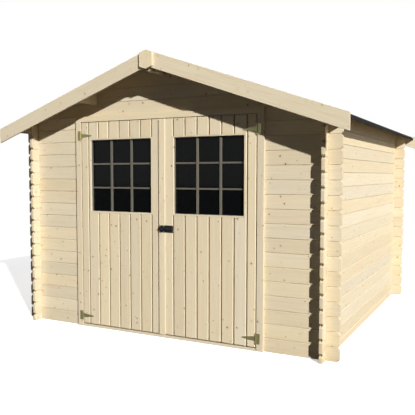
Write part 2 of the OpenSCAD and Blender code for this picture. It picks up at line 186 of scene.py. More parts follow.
class ShedRoofSettings(bpy.types.PropertyGroup):
    """Felt and its nails."""

    felt_lap: length_setting("Lap", "Overlap of two felt strips", 0.08)
    felt_t: length_setting("Felt thickness", "Thickness of one strip", 0.0028)
    ridge_cap: length_setting("Ridge cap", "Reach of the ridge strip down a slope", 0.16)
    nail_pitch: length_setting("Nail pitch", "Distance between clout nails", 0.085)
    nail_head: length_setting("Nail head", "Radius of a clout nail's head", 0.0045)
    felt: colour_setting("Felt", "Mineral surface of the felt", 27, 27, 27)


class ShedFittingSettings(bpy.types.PropertyGroup):
    """Glass, hinges and bolt."""

    bar_w: length_setting("Bar width", "Face width of an upright glazing bar", 0.019)
    rail_w: length_setting("Rail width", "Face width of a level glazing bar", 0.014)
    bar_t: length_setting("Bar depth", "Depth of an upright glazing bar", 0.0135)
    rail_t: length_setting("Rail depth", "Depth of a level glazing bar", 0.0035)
    lining_t: length_setting("Lining", "Thickness of the lining in a window", 0.003)
    lining_back: length_setting("Lining set-back", "From the leaf's face to the lining", 0.013)
    screw_r: length_setting("Screw head", "Radius of a screw head", 0.0042)
    plating: colour_setting("Plating", "Yellow plated steel", 161, 154, 111)
    iron: colour_setting("Iron", "Black enamelled iron", 20, 19, 20)
    # The glass's near-black colour and the large share of light it stops are painted shade:
    # the glass stands dark for the shaded inside of the shed
    glass: colour_setting("Glass", "Tint of the glass", 13, 14, 15)
    tint: strength_setting("Glass cover", "Share of light the glass stops", 0.86, max=1.0,
                           subtype="FACTOR")


class ShedStageSettings(bpy.types.PropertyGroup):
    """Camera and light."""

    lens: FloatProperty(name="Lens", description="Focal length", default=50.9, min=1.0,
                        unit="CAMERA")
    place: vector_setting("Camera", "Place of the camera", (2.5774, -5.5869, 1.3806),
                          subtype="TRANSLATION", unit="LENGTH")
    pan: angle_setting("Pan", "Turn to the left of straight ahead", 27.73)
    dip: angle_setting("Dip", "Tilt below level", 3.816)
    shift: vector_setting("Shift", "Shift of the lens, across and up", (0.0170, 0.0165))
    sun: strength_setting("Key", "Strength of the key light", 5.02)
    key_travel: vector_setting("Key direction", "Way in which the key light travels",
                               (-1.20, 1.0, -0.68), subtype="DIRECTION")
    key_size: angle_setting("Key size", "Angle that the key light fills", 1.3)
    fill: strength_setting("Fill", "Strength of the surrounding light", 0.02)
    back_fill: strength_setting("Back fill", "The same, behind the shed", 1.3)
    back_way: vector_setting("Back fill direction", "Where the surrounding light is strongest",
                             (-0.52, 0.84, 0.15), subtype="DIRECTION")
    floor_lift: strength_setting("Floor lift", "Light added to the floor", 0.42)


# ---- Node materials ------------------------------------------------------------------


def scaled(colour, factor, more=0.0):
    """The colour times a factor, and more added to each channel."""
    return tuple(factor * v + more for v in colour)


class Nodes:
    """The node tree of a material or a world, and short ways to add nodes to it."""

    def __init__(self, owner):
        self.owner = owner
        owner.use_nodes = True
        self.tree = owner.node_tree
        self.tree.nodes.clear()

    def node(self, kind, inputs=(), **settings):
        """Adds a node, with its inputs in order or by key."""
        node = self.tree.nodes.new("ShaderNode" + kind)
        for key, value in settings.items():
            setattr(node, key, value)
        for key, value in inputs.items() if isinstance(inputs, dict) else enumerate(inputs):
            self.feed(node.inputs[key], value)
        return node

    def feed(self, socket, value):
        """Links a socket to the input, or sets a number, a vector or a colour there."""
        if isinstance(value, bpy.types.NodeSocket):
            self.tree.links.new(value, socket)
        elif socket.type == "RGBA":
            socket.default_value = (*value, 1.0)
        else:
            socket.default_value = value

    def math(self, operation, *values):
        return self.node("Math", values, operation=operation).outputs[0]

    def plus(self, *values):
        return self.math("ADD", *values)

    def times(self, *values):
        return self.math("MULTIPLY", *values)

    def vector(self, operation, *values):
        number = operation in {"LENGTH", "DOT_PRODUCT"}
        return self.node("VectorMath", values, operation=operation).outputs[int(number)]

    def stretch(self, vector, *factors):
        return self.vector("MULTIPLY", vector, factors)

    def attribute(self, name, output="Fac"):
        return self.node("Attribute", attribute_name=name).outputs[output]

    def place(self, output="Object"):
        return self.node("TexCoord").outputs[output]

    def joined(self, *numbers):
        return self.node("CombineXYZ", numbers).outputs[0]

    def noise(self, vector, scale, detail=3.0, rough=0.5, output="Fac"):
        return self.node("TexNoise", {"Vector": vector, "Scale": scale, "Detail": detail,
                                      "Roughness": rough}).outputs[output]

    def cells(self, vector, scale, spread=1.0):
        """Voronoi cells: the distance to the nearest point, and three numbers for it."""
        node = self.node("TexVoronoi", {"Vector": vector, "Scale": scale,
                                        "Randomness": spread})
        colour = self.node("SeparateColor", [node.outputs["Color"]])
        return node.outputs["Distance"], colour.outputs

    def span(self, value, low, high, to_low=0.0, to_high=1.0, smooth=False):
        """Maps value from low..high to to_low..to_high, held at the ends."""
        kind = "SMOOTHSTEP" if smooth else "LINEAR"
        return self.node("MapRange", (value, low, high, to_low, to_high),
                         interpolation_type=kind).outputs[0]

    def mix(self, factor, first, second, blend="MIX"):
        """Colour mix of first and second by factor."""
        return self.node("Mix", {0: factor, 6: first, 7: second}, data_type="RGBA",
                         blend_type=blend).outputs[2]

    def bump(self, height, distance, strength):
        return self.node("Bump", {"Height": height, "Distance": distance,
                                  "Strength": strength}).outputs[0]

    def surface(self, colour, **inputs):
        """Ends the tree in a Principled shader; inputs use its names with _ for a space."""
        inputs = {key.replace("_", " "): value for key, value in inputs.items()}
        node = self.node("BsdfPrincipled", {"Base Color": colour, **inputs})
        self.node("OutputMaterial", node.outputs[:1])


KNOT_PITCH = 0.06           # cells of the log that may hold a knot
KNOT_R = (0.0036, 0.0084)   # radius of the smallest and the largest knot
RING_PITCH = 0.0105         # growth rings
BULGE = 0.005               # how far a knot pushes the rings


def pine_finish(f, light, dark, blush, knot, contrast=1.0, knots=0.85):
    """Planed pine cut from a log: growth rings round a heart that sways along the board,
    fine fibres, knots that push the rings aside, and a tone for each board.

    The attribute "grain" holds a point's place in its log: along the heart, then across it
    twice. "tone" is a number for each board, "end" marks the sawn ends, and a fourth
    attribute marks the walls of a groove, which get painted shade. Rings, fibres and hue all
    come from these.
    """
    grain = f.attribute("grain", "Vector")
    tone = f.attribute("tone")
    end = f.attribute("end")
    # Marks the walls of the grooves, which are darkened there as painted shade
    dust_and_shade = f.attribute("dust_and_shade")
    along, across, deep = f.node("SeparateXYZ", [grain]).outputs

    # Knots: balls in cells of the log, of which a share holds one of its own radius
    away, (pick, size, shade) = f.cells(grain, 1 / KNOT_PITCH, 0.9)
    ragged = f.noise(grain, 120.0, 2.0)
    away = f.plus(f.times(away, KNOT_PITCH), f.span(ragged, 0.3, 0.7, -0.0009, 0.0009))
    has_knot = f.math("LESS_THAN", pick, knots)
    radius = f.span(f.math("POWER", size, 2.0), 0.0, 1.0, *KNOT_R)
    ratio = f.math("DIVIDE", away, radius)
    core = f.times(has_knot, f.span(ratio, 0.6, 1.1, 1.0, 0.0, smooth=True))
    halo = f.times(has_knot, f.span(ratio, 0.8, 3.4, 1.0, 0.0, smooth=True))

    # Rings: distance from a swaying heart, pushed out beside a knot, of uneven spacing
    slow = f.joined(f.times(along, 1.15), f.times(across, 2.0), tone)
    sway = f.vector("SUBTRACT", f.noise(slow, 1.0, output="Color"), (0.5, 0.5, 0.5))
    sway = f.node("VectorMath", {0: sway, "Scale": 0.15}, operation="SCALE").outputs[0]
    heart = f.vector("ADD", f.joined(0.0, across, deep), sway)
    ring_at = f.plus(f.vector("LENGTH", f.stretch(heart, 0.0, 1.0, 1.0)),
                     f.times(halo, BULGE))
    uneven = f.noise(f.joined(ring_at, 0.0, tone), 55.0, 3.0, 0.6)
    rings = f.math("FRACT", f.plus(f.math("DIVIDE", ring_at, RING_PITCH),
                                   f.times(uneven, 3.8)))
    late = f.times(f.math("POWER", f.span(rings, 0.25, 0.95), 2.0),
                   f.span(rings, 0.95, 1.0, 1.0, 0.0))
    fading = f.noise(f.stretch(grain, 2.5, 22.0, 22.0), 1.0, 3.0, 0.6)
    late = f.times(late, f.span(fading, 0.38, 0.66, 0.12, 1.0))

    # Fibres: noise drawn out along the board, in two sizes
    fibre = f.noise(f.stretch(grain, 16.0, 520.0, 520.0), 1.0, 3.0, 0.6)
    streak = f.noise(f.stretch(grain, 3.0, 90.0, 90.0), 1.0, 3.0, 0.6)

    # A board's own strength of ring, and parts where the rings run red
    plain = f.math("FRACT", f.times(tone, 5.77))
    red = f.noise(f.joined(f.times(along, 1.6), f.times(across, 9.0), f.times(tone, 9.0)),
                  1.0, 2.0)
    red_share = f.span(red, 0.52, 0.68)
    strength = f.plus(f.span(plain, 0.0, 1.0, 0.22 * contrast, 0.60 * contrast),
                      f.times(red_share, 0.42 * contrast))
    colour = f.mix(f.times(late, strength), light, f.mix(red_share, dark, blush))
    colour = f.mix(f.span(fibre, 0.35, 0.8, 0.0, 0.16 * contrast), colour, dark)
    colour = f.mix(f.span(streak, 0.42, 0.75, 0.0, 0.26 * contrast), colour, dark)

    # The board's own hue and tone
    hue = f.math("FRACT", f.times(tone, 7.31))
    tint = f.mix(hue, (1.02, 0.995, 0.94), (0.975, 0.99, 1.03))
    value = f.span(tone, 0.0, 1.0, 0.94, 1.06)
    colour = f.vector("MULTIPLY", f.mix(1.0, colour, tint, blend="MULTIPLY"),
                      f.joined(value, value, value))

    # Knots with rings of their own, sawn ends, and painted shade in the grooves over it
    colour = f.mix(f.times(halo, 0.28), colour, dark)
    whorl = f.math("SINE", f.times(ratio, 13.0))
    heartwood = f.mix(f.span(whorl, -0.6, 1.0, 0.0, 0.55),
                      f.mix(shade, knot, scaled(knot, 1.7)), scaled(knot, 2.6))
    colour = f.mix(f.times(core, 0.92), colour, heartwood)
    colour = f.mix(f.times(end, 0.22), colour, dark)
    # Painted shade: the walls of each groove are darkened towards a deep brown
    colour = f.mix(f.times(dust_and_shade, 0.74), colour, scaled(dark, 0.45))

    height = f.plus(f.times(fibre, 0.5), f.times(late, 0.5))
    f.surface(colour, Roughness=f.span(fibre, 0.2, 0.8, 0.58, 0.74),
              Normal=f.bump(height, 0.00025, 0.4), Specular_IOR_Level=0.25)


def felt_finish(f, colour):
    """Mineral felt: dark grains of 2 mm of differing brightness, with faint cloudy wear."""
    place = f.place()
    away, (value, _, _) = f.cells(place, 420.0)
    cloud = f.noise(place, 3.0, 4.0, 0.6)
    pale = scaled(colour, 2.3, 0.01)
    shade = f.mix(f.span(value, 0.55, 1.0, 0.0, 0.75), colour, pale)
    shade = f.mix(f.span(cloud, 0.4, 0.75, 0.0, 0.35), shade, pale)
    f.surface(shade, Roughness=f.span(cloud, 0.3, 0.7, 0.82, 0.96),
              Normal=f.bump(away, 0.0008, 0.7), Specular_IOR_Level=0.08)


def glass_finish(f, colour, cover):
    """Thin glass, darkened by its colour and its cover as painted shade for the dark inside of
    the shed: clear for a share of the light, with a slight roll in its face.
    """
    place = f.place()
    roll = f.noise(place, 2.2, 1.0)
    dust_and_shade = f.noise(place, 30.0, 4.0, 0.65)
    shade = f.mix(f.span(dust_and_shade, 0.5, 0.9, 0.0, 0.5), colour, scaled(colour, 1.6, 0.002))
    f.surface(shade, Roughness=f.span(dust_and_shade, 0.4, 0.8, 0.03, 0.09), IOR=1.45, Alpha=cover,
              Normal=f.bump(roll, 0.002, 0.12), Specular_IOR_Level=0.12)
    f.owner.surface_render_method = "BLENDED"


def plated_finish(f, colour):
    """Yellow plated steel: cloudy plating with fine rolled lines and darker spots."""
    place = f.place()
    cloud = f.noise(place, 60.0, 4.0, 0.6)
    lines = f.noise(f.stretch(place, 60.0, 60.0, 900.0), 1.0, 2.0)
    green = tuple(np.multiply(colour, (0.93, 0.96, 0.80)))
    shade = f.mix(f.span(cloud, 0.35, 0.65), colour, green)
    shade = f.mix(f.span(lines, 0.45, 0.8, 0.0, 0.4), shade, scaled(colour, 0.55))
    f.surface(shade, Metallic=0.7, Roughness=f.span(cloud, 0.3, 0.7, 0.36, 0.52),
              Normal=f.bump(lines, 0.0002, 0.3))


def iron_finish(f, colour):
    """Black enamel on iron: a slight orange peel and thinner colour in places."""
    place = f.place()
    cloud = f.noise(place, 40.0)
    shade = f.mix(f.span(cloud, 0.4, 0.75, 0.0, 0.6), colour, scaled(colour, 1.7))
    f.surface(shade, Roughness=f.span(cloud, 0.3, 0.7, 0.26, 0.42),
              Normal=f.bump(f.noise(place, 500.0, 2.0), 0.0002, 0.35))


def bright_finish(f):
    """Zinc on nails and screws: a cloudy grey metal."""
    cloud = f.noise(f.place(), 150.0)
    shade = f.mix(f.span(cloud, 0.35, 0.7), srgb(176, 178, 176), srgb(120, 121, 118))
    f.surface(shade, Metallic=0.85, Roughness=f.span(cloud, 0.3, 0.7, 0.3, 0.5))


FINISHES = {}


def finish(key):
    """The material of that key, made once from the settings."""
    if key not in FINISHES:
        scene = bpy.context.scene
        timber, fittings = scene.shed_timber, scene.shed_fittings
        grey = timber.bar_light
        name, build, *values = {
            "pine": ("planed_pine", pine_finish, timber.pine_light, timber.pine_dark,
                     timber.pine_pink, timber.knot),
            "stained_pine": ("grey_stained_pine", pine_finish, grey, scaled(grey, 0.72),
                             grey, scaled(grey, 0.4), 0.7, 0.2),
            "felt": ("mineral_felt", felt_finish, scene.shed_roof.felt),
            "glass": ("tinted_glass", glass_finish, fittings.glass, fittings.tint),
            "plated": ("plated_steel", plated_finish, fittings.plating),
            "iron": ("black_iron", iron_finish, fittings.iron),
            "bright": ("bright_steel", bright_finish),
        }[key]
        FINISHES[key] = bpy.data.materials.new(name)
        build(Nodes(FINISHES[key]), *values)
    return FINISHES[key]


def refinish(node, key):
    """Gives a CAD node's own mesh another finish."""
    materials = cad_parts[node].data.materials
    materials.clear()
    materials.append(finish(key))


# ---- Outlines ------------------------------------------------------------------------


def rectangle(u0, u1, v0, v1):
    """Four corners, anticlockwise."""
    return np.array([[u0, v0], [u1, v0], [u1, v1], [u0, v1]], float)


def unit(vectors):
    """Vectors brought to length 1."""
    return vectors / np.linalg.norm(vectors, axis=-1, keepdims=True)


def clip(outline, normal, level):
    """The part of an outline where normal.p <= level: each corner that is inside is kept,
    and each edge that crosses the line gives the point where it crosses."""
    side = outline @ np.array(normal, float) - level
    after = np.roll(side, -1)
    crosses = (side > 0) != (after > 0)
    share = side / np.where(crosses, side - after, 1.0)
    point = outline + (np.roll(outline, -1, 0) - outline) * share[:, None]
    return np.stack([outline, point], 1)[np.stack([side <= 0, crosses], 1)]


def under_roof(outline, lower=0.0):
    """The part of an outline in (X, Z) that lies under both slopes of the roof."""
    for side in (-1, 1):
        outline = clip(outline, (side * SLOPE, 1), APEX_Z - lower)
    return outline


def edges_at(outline, level):
    """Which edges of an outline lie at v = level."""
    near = np.abs(outline[:, 1] - level) < NEAR
    return near & np.roll(near, -1)


def notched(outline, level, spans, depth):
    """Cuts square notches into the longest edge that lies at v = level. spans are (from,
    to) along u, and depth is how far each goes in, upwards if positive."""
    flat = edges_at(outline, level)
    if not spans or not flat.any():
        return outline
    run = np.roll(outline, -1, 0)[:, 0] - outline[:, 0]
    i = int(np.argmax(flat * np.abs(run)))
    forward = run[i] > 0
    added = []
    for a, b in sorted(spans, reverse=not forward):
        a, b = (a, b) if forward else (b, a)
        added += [[a, level], [a, level + depth], [b, level + depth], [b, level]]
    return np.insert(outline, i + 1, np.array(added), 0)


def mirrored(outline):
    """The outline with u reversed, again anticlockwise."""
    return (outline * (-1, 1))[::-1]


def rounded(outline, radius, steps=4):
    """Replaces each corner by an arc: points at equal turns about a centre that lies the
    radius away from both edges, whichever way the corner turns."""
    before = unit(outline - np.roll(outline, 1, 0))
    after = unit(np.roll(outline, -1, 0) - outline)
    turn = np.arctan2(before[:, 0] * after[:, 1] - before[:, 1] * after[:, 0],
                      (before * after).sum(1))
    inner = np.stack([-before[:, 1], before[:, 0]], 1) * np.sign(turn)[:, None]
    start = outline - before * (radius * np.tan(np.abs(turn) / 2))[:, None]
    centre = start + inner * radius
    angle = turn[:, None] * np.linspace(0, 1, steps)
    spoke = start - centre
    cos, sin = np.cos(angle), np.sin(angle)
    arc = np.stack([spoke[:, :1] * cos - spoke[:, 1:] * sin,
                    spoke[:, :1] * sin + spoke[:, 1:] * cos], 2)
    return (centre[:, None, :] + arc).reshape(-1, 2)


def inset(outline, reach):
    """Moves edge i of a closed outline inwards by reach[i]. Each new corner is where two
    neighbouring moved edges cross, which solves two equations n.p = level. A point within
    a straight edge moves square to it."""
    step = unit(np.roll(outline, -1, 0) - outline)
    normal = np.stack([-step[:, 1], step[:, 0]], 1)
    level = (normal * outline).sum(1) + reach
    n0, c0 = np.roll(normal, 1, 0), np.roll(level, 1)
    det = n0[:, 0] * normal[:, 1] - n0[:, 1] * normal[:, 0]
    straight = np.abs(det) < NEAR
    crossing = np.stack([c0 * normal[:, 1] - n0[:, 1] * level,
                         n0[:, 0] * level - c0 * normal[:, 0]], 1)
    crossing /= np.where(straight, 1.0, det)[:, None]
    return np.where(straight[:, None], outline + normal * reach[:, None], crossing)


def joint_reach(outline, levels, joint, arris):
    """How far each edge is taken in at the face: the joint's depth on edges that lie at
    one of the levels of v, and the arris on the others."""
    hit = np.any([edges_at(outline, level) for level in levels], 0)
    return np.where(hit, joint, arris)


# ---- Shells --------------------------------------------------------------------------

# Sections through a rim: depth below the face and share of the edge's reach, both in
# units of the widest reach, from the face to the board's full width.
V_RIM = (np.array([0.0, 0.10, 0.34, 0.86, 1.0, 1.25, 1.40, 2.60, 2.75]),
         np.array([1.08, 0.90, 0.64, 0.20, 0.14, 0.14, 0.14, 0.14, 0.0]))
GROOVE_RIM = (np.array([0.0, 0.06, 0.48, 1.30, 1.36]),
              np.array([1.04, 0.94, 0.52, 0.46, 0.0]))
CHAMFER_RIM = (np.array([0.0, 0.08, 0.94, 1.0]), np.array([1.02, 0.90, 0.08, 0.0]))
SQUARE_RIM = (np.array([0.0]), np.array([0.0]))
QUARTER_TURN = np.linspace(0, math.pi / 2, 5)
ROUND_RIM = (1 - np.cos(QUARTER_TURN), 1 - np.sin(QUARTER_TURN))
FINE_RIM = (0.3 * ROUND_RIM[0], 0.3 * ROUND_RIM[1])
CORE_FROM = 1.3             # depth at which a plank's core starts, in the same units
GROOVE_SHADE_BELOW = 0.62           # share of the reach under which a groove's walls get painted shade


def tube(rings, spokes, start=0):
    """Quads between neighbouring rings of points, which are numbered from start."""
    i = np.arange(spokes)
    j = start + np.arange(rings - 1)[:, None] * spokes
    after = (i + 1) % spokes
    quads = np.stack([j + i, j + spokes + i, j + spokes + after, j + after], 2)
    return quads.reshape(-1, 4).tolist()


def capped(top, rings):
    """Closed shell of a top point on the axis and the rings around it, outwards and down.
    Returns points and faces."""
    count, spokes = rings.shape[:2]
    fan = [[0, 1 + k, 1 + (k + 1) % spokes] for k in range(spokes)]
    foot = [1 + (count - 1) * spokes + k for k in reversed(range(spokes))]
    points = np.concatenate([[[0, 0, top]], rings.reshape(-1, 3)])
    return points, fan + tube(count, spokes, 1) + [foot]


def joined(name, shells):
    """One mesh from (points, faces) shells."""
    starts = np.cumsum([0, *[len(points) for points, _ in shells]]).tolist()
    mesh = bpy.data.meshes.new(name)
    mesh.from_pydata(np.concatenate([points for points, _ in shells]), [],
                     [[start + i for i in face] for (_, faces), start in zip(shells, starts)
                      for face in faces])
    return mesh


def scattered(name, shape, places, normals):
    """One mesh with the shape set at each place, its own Z along the normal there."""
    points, faces = shape
    shells = []
    for place, normal in zip(places, normals):
        side = unit(np.cross(normal, Z if abs(normal[2]) < 0.9 else X))
        axes = np.array([side, np.cross(normal, side), normal])
        shells.append((points @ axes + place, faces))
    return joined(name, shells)


def linked(name, data):
    """An object of the scene with this data."""
    item = bpy.data.objects.new(name, data)
    bpy.context.scene.collection.objects.link(item)
    return item


def placed(mesh, name, body, key, node=None):
    """Makes a piece of a mesh: finish, riding body and the CAD node it stands for."""
    if mesh.validate():
        raise RuntimeError(f"{name}: the mesh needed mending")
    mesh.shade_smooth()
    mesh.set_sharp_from_angle(angle=math.radians(32.0))
    mesh.materials.append(finish(key))
    piece = linked(name, mesh)
    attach(piece, body)
    even = piece.modifiers.new("even_normals", "WEIGHTED_NORMAL")
    even.keep_sharp = True
    even.weight = 100
    if node:
        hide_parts(node)
    return piece


class Boards:
    """Collects shells of boards and makes them one mesh with its wood attributes."""

    def __init__(self, seed):
        self.random = np.random.default_rng(seed)
        self.points, self.faces, self.grain, self.tone = [], [], [], []
        self.end, self.dust_and_shade = [], []
        self.count = 0

    def draw(self):
        """A board's place in its log and its tone."""
        heart = self.random.uniform((0.0, -0.06, 0.02), (40.0, 0.06, 0.09))
        heart[2] *= self.random.choice([-1.0, 1.0])
        return heart, self.random.random()

    def board(self, outline, reach, thick, origin, along, across, rim=ROUND_RIM, back=None,
              core=None, lean=None, drawn_out=False, log=None):
        """A closed board: its outline in (along, across) is carried through the thickness,
        ring by ring, taken in near both faces by the share in the rim's section.

        rim and back are sections (depth, share) at the face and at the back. The face
        looks along the cross product of along and across. core is another outline, with
        its reach, for the rings well inside both faces. lean, a function of the local
        points, shears the finished shell. drawn_out runs the grain through the
        thickness, for sections that are drawn out into a bar. log is a draw to share."""
        rear = rim if back is None else back
        reach = np.broadcast_to(np.asarray(reach, float), len(outline))
        widest = float(reach.max())
        depth = np.concatenate([rim[0] * widest, thick - rear[0][::-1] * widest])
        share = np.concatenate([rim[1], rear[1][::-1]])
        within = np.minimum(depth, thick - depth) > CORE_FROM * widest
        rings = np.stack([inset(core[0], core[1] * s) if core and inside
                          else inset(outline, reach * s)
                          for s, inside in zip(share, within)])
        r, n = len(depth), len(outline)
        local = np.concatenate([rings, np.broadcast_to(depth[:, None, None], (r, n, 1))], 2)
        local = local.reshape(-1, 3)
        if lean is not None:
            local = lean(local)
        faces = [*tube(r, n), range(n), range(r * n - 1, (r - 1) * n - 1, -1)]
        step = np.abs(np.roll(outline, -1, 0) - outline)
        sawn = np.tile(step[:, 1] > 2 * step[:, 0], r - 1)
        # Painted shade darkens the walls of a groove, below its chamfer
        joint = (reach == widest) & (rim is GROOVE_RIM)
        walls = (share[:-1] > 0) & (share[:-1] < GROOVE_SHADE_BELOW)
        axes = np.array([along, across, np.cross(across, along)])
        if drawn_out:
            local = local[:, [2, 0, 1]]
            axes = axes[[2, 0, 1]]
            sawn = 0 * sawn
        heart, tone = self.draw() if log is None else log
        self.points.append(origin + local @ axes)
        self.faces += [tuple(self.count + i for i in face) for face in faces]
        self.grain.append(local + heart)
        self.tone.append(np.full(len(local), tone))
        self.end += [*sawn, drawn_out, drawn_out]
        # Faces on the walls of a groove, which the finish darkens as painted shade
        self.dust_and_shade += [*np.outer(walls, joint).ravel(), False, False]
        self.count += len(local)

    def made(self, name, body, node, key="pine"):
        """Makes the mesh and its object, rides it and lets it stand for the CAD node."""
        mesh = bpy.data.meshes.new(name)
        mesh.from_pydata(np.concatenate(self.points), [], self.faces)
        for label, kind, domain, field, values in (
                ("grain", "FLOAT_VECTOR", "POINT", "vector", np.concatenate(self.grain)),
                ("tone", "FLOAT", "POINT", "value", np.concatenate(self.tone)),
                ("end", "FLOAT", "FACE", "value", np.array(self.end)),
                ("dust_and_shade", "FLOAT", "FACE", "value", np.array(self.dust_and_shade))):
            layer = mesh.attributes.new(label, kind, domain)
            layer.data.foreach_set(field, values.astype(np.float32).ravel())
        return placed(mesh, name, body, key, node)


def one_board(seed, name, body, node, *form, **more):
    """A piece that is a single board."""
    boards = Boards(seed)
    boards.board(*form, **more)
    boards.made(name, body, node)


# ---- Walls ---------------------------------------------------------------------------

POCKET_H = 0.007            # height of the hollow in each of two plank ends
POCKET_LIP = 0.001          # slope of the hollow's inner end
FLOOR_JOINT = (0.0016, 0.0005)  # depth of the V between two floor boards, and the arris


def plank_end(timber, rise):
    """Lower corner of a plank's free end, as (distance from the end, height): along the
    joint, up the clipped corner and onto the end. rise opens the hollow over the joint."""
    c, p = timber.end_clip, timber.pocket
    return np.array([[c + p + POCKET_LIP, 0], [c + p, rise], [c - rise, rise], [0, c]])


def plank_outline(timber, u0, u1, z0, z1, free, clipped, rise):
    """Elevation of a wall plank, anticlockwise from its lower left corner. free says
    which ends are free, and clipped whether the lower and the upper corners are cut."""
    corner = plank_end(timber, rise)
    square = np.zeros((1, 2))
    (lower_left, upper_left), (lower_right, upper_right) = (
        [corner if end and cut else square for cut in clipped] for end in free)
    return np.concatenate([
        (lower_left * (1, 1) + (u0, z0))[::-1],
        lower_right * (-1, 1) + (u1, z0),
        (upper_right * (-1, -1) + (u1, z1))[::-1],
        upper_left * (1, -1) + (u0, z1)])


def wall_plank(boards, timber, place, along, span, z0, z1, free, clipped, crossings,
               joints, lean=None):
    """Adds one wall plank, notched by a quarter of a plank where it crosses another wall
    and hollowed inside its free ends."""
    shapes = []
    for rise in (0.0, POCKET_H):
        outline = plank_outline(timber, *span, z0, z1, free, clipped, rise)
        for cut, level, depth in zip(clipped, (z0, z1), (PLANK_H / 4, -PLANK_H / 4)):
            if cut:
                outline = notched(outline, level, crossings, depth)
        shapes.append((outline, joint_reach(outline, joints, timber.joint, timber.arris)))
    shift = -np.cross(along, Z) * boards.random.uniform(0.0, PLAY)
    boards.board(*shapes[0], PLANK_T - PLAY, place + shift, along, Z, rim=V_RIM,
                 core=shapes[1], lean=lean)


def cross_wall(boards, timber, place, along, u0, u1, free):
    """Planks of a wall that lies along X, from the ground to the foot of the gable."""
    inner = HALF_W - PLANK_T
    spans = [span for end, span in zip(free, ((-HALF_W, -inner), (inner, HALF_W))) if end]
    for k in range(CORNER_PLANKS):
        z0, z1 = k * PLANK_H, (k + 1) * PLANK_H
        wall_plank(boards, timber, place, along, (u0, u1), z0, z1, free, (True, True),
                   spans, [z0, z1] if k else [z1])
    outline = under_roof(rectangle(max(u0, -inner), min(u1, inner), CORNER_Z, GABLE_Z))
    reach = joint_reach(outline, [CORNER_Z, GABLE_Z], timber.joint, timber.arris)
    boards.board(outline, reach, PLANK_T, place, along, Z, rim=V_RIM)


def side_wall(boards, timber, place, along, u0, u1, spans):
    """Planks of a wall that lies along Y. The lowest is half a plank, and the top one is
    planed to the slope of the roof."""
    top = APEX_Z - SLOPE * HALF_W
    levels = [0.0, *[(k + 0.5) * PLANK_H for k in range(CORNER_PLANKS)], top]

    def planed(local):
        """Raises the points of the top edge by the slope times their depth."""
        high = local[:, 1] > top - PLANK_H / 8
        return local + np.outer(high * local[:, 2] * SLOPE, (0, 1, 0))

    for k, (z0, z1) in enumerate(zip(levels, levels[1:])):
        clipped = (k > 0, k < CORNER_PLANKS)
        joints = [z for z, cut in zip((z0, z1), clipped) if cut]
        wall_plank(boards, timber, place, along, (u0, u1), z0, z1, (True, True), clipped,
                   spans, joints, None if clipped[1] else planed)


class SHED_OT_walls(bpy.types.Operator):
    """Builds the interlocking planks of the four walls"""

    bl_idname = "shed.walls"
    bl_label = "Wall planks"

    def execute(self, context):
        timber = context.scene.shed_timber
        front, back = FRONT_Y * Y, BACK_Y * Y
        spans = [(FRONT_Y, FRONT_Y + PLANK_T), (BACK_Y - PLANK_T, BACK_Y)]
        for k, (name, node, wall, *form) in enumerate((
                ("front_planks_right", "front_wall_right", cross_wall, front, X, POST_X,
                 REACH_X, (False, True)),
                ("front_planks_left", "front_wall_left", cross_wall, front, X, -REACH_X,
                 -POST_X, (True, False)),
                ("back_planks", "back_wall", cross_wall, back, -X, -REACH_X, REACH_X,
                 (True, True)),
                ("right_planks", "right_wall", side_wall, HALF_W * X, Y, FRONT_END,
                 BACK_END, spans),
                ("left_planks", "left_wall", side_wall, -HALF_W * X, -Y, -BACK_END,
                 -FRONT_END, [(-b, -a) for a, b in spans]))):
            boards = Boards(timber.seed * 100 + k + 1)
            wall(boards, timber, *form)
            boards.made(name, "cabin", node)
        return {"FINISHED"}


class SHED_OT_gables(bpy.types.Operator):
    """Builds the planks of both gables, cut round the ridge beam and the purlins"""

    bl_idname = "shed.gables"
    bl_label = "Gable planks"

    def execute(self, context):
        timber = context.scene.shed_timber
        blocks = [(low[0], high[0], low[2]) for low, high in
                  map(corners, ("left_purlin", "ridge_beam", "right_purlin"))]
        for name, y, along, seed in (("front_gable", FRONT_Y, X, 11),
                                     ("back_gable", BACK_Y, -X, 12)):
            boards = Boards(timber.seed * 100 + seed)
            for k in range(PLANKS_TO_GABLE, math.ceil(APEX_Z / PLANK_H)):
                z0, z1 = k * PLANK_H, min((k + 1) * PLANK_H, APEX_Z)
                end = (APEX_Z - z0) / SLOPE
                through = [b for b in blocks if b[2] <= z0 and abs(b[0]) < end]
                partly = [b for b in blocks if z0 < b[2] < z1]
                cuts = [-end, *[v for b in through for v in b[:2]], end]
                for u0, u1 in zip(cuts[::2], cuts[1::2]):
                    outline = under_roof(rectangle(u0, u1, z0, z1))
                    step = outline - np.roll(outline, 1, 0)
                    outline = outline[np.linalg.norm(step, axis=1) > 10 * NEAR]
                    spans = [b[:2] for b in partly if u0 < b[0] and b[1] < u1]
                    if spans:
                        outline = notched(outline, z1, spans, partly[0][2] - z1)
                    reach = joint_reach(outline, [z0, z1], timber.joint, timber.arris)
                    boards.board(outline, reach, PLANK_T, y * Y, along, Z, rim=V_RIM)
            boards.made(f"{name}_planks", "cabin", name)
        return {"FINISHED"}


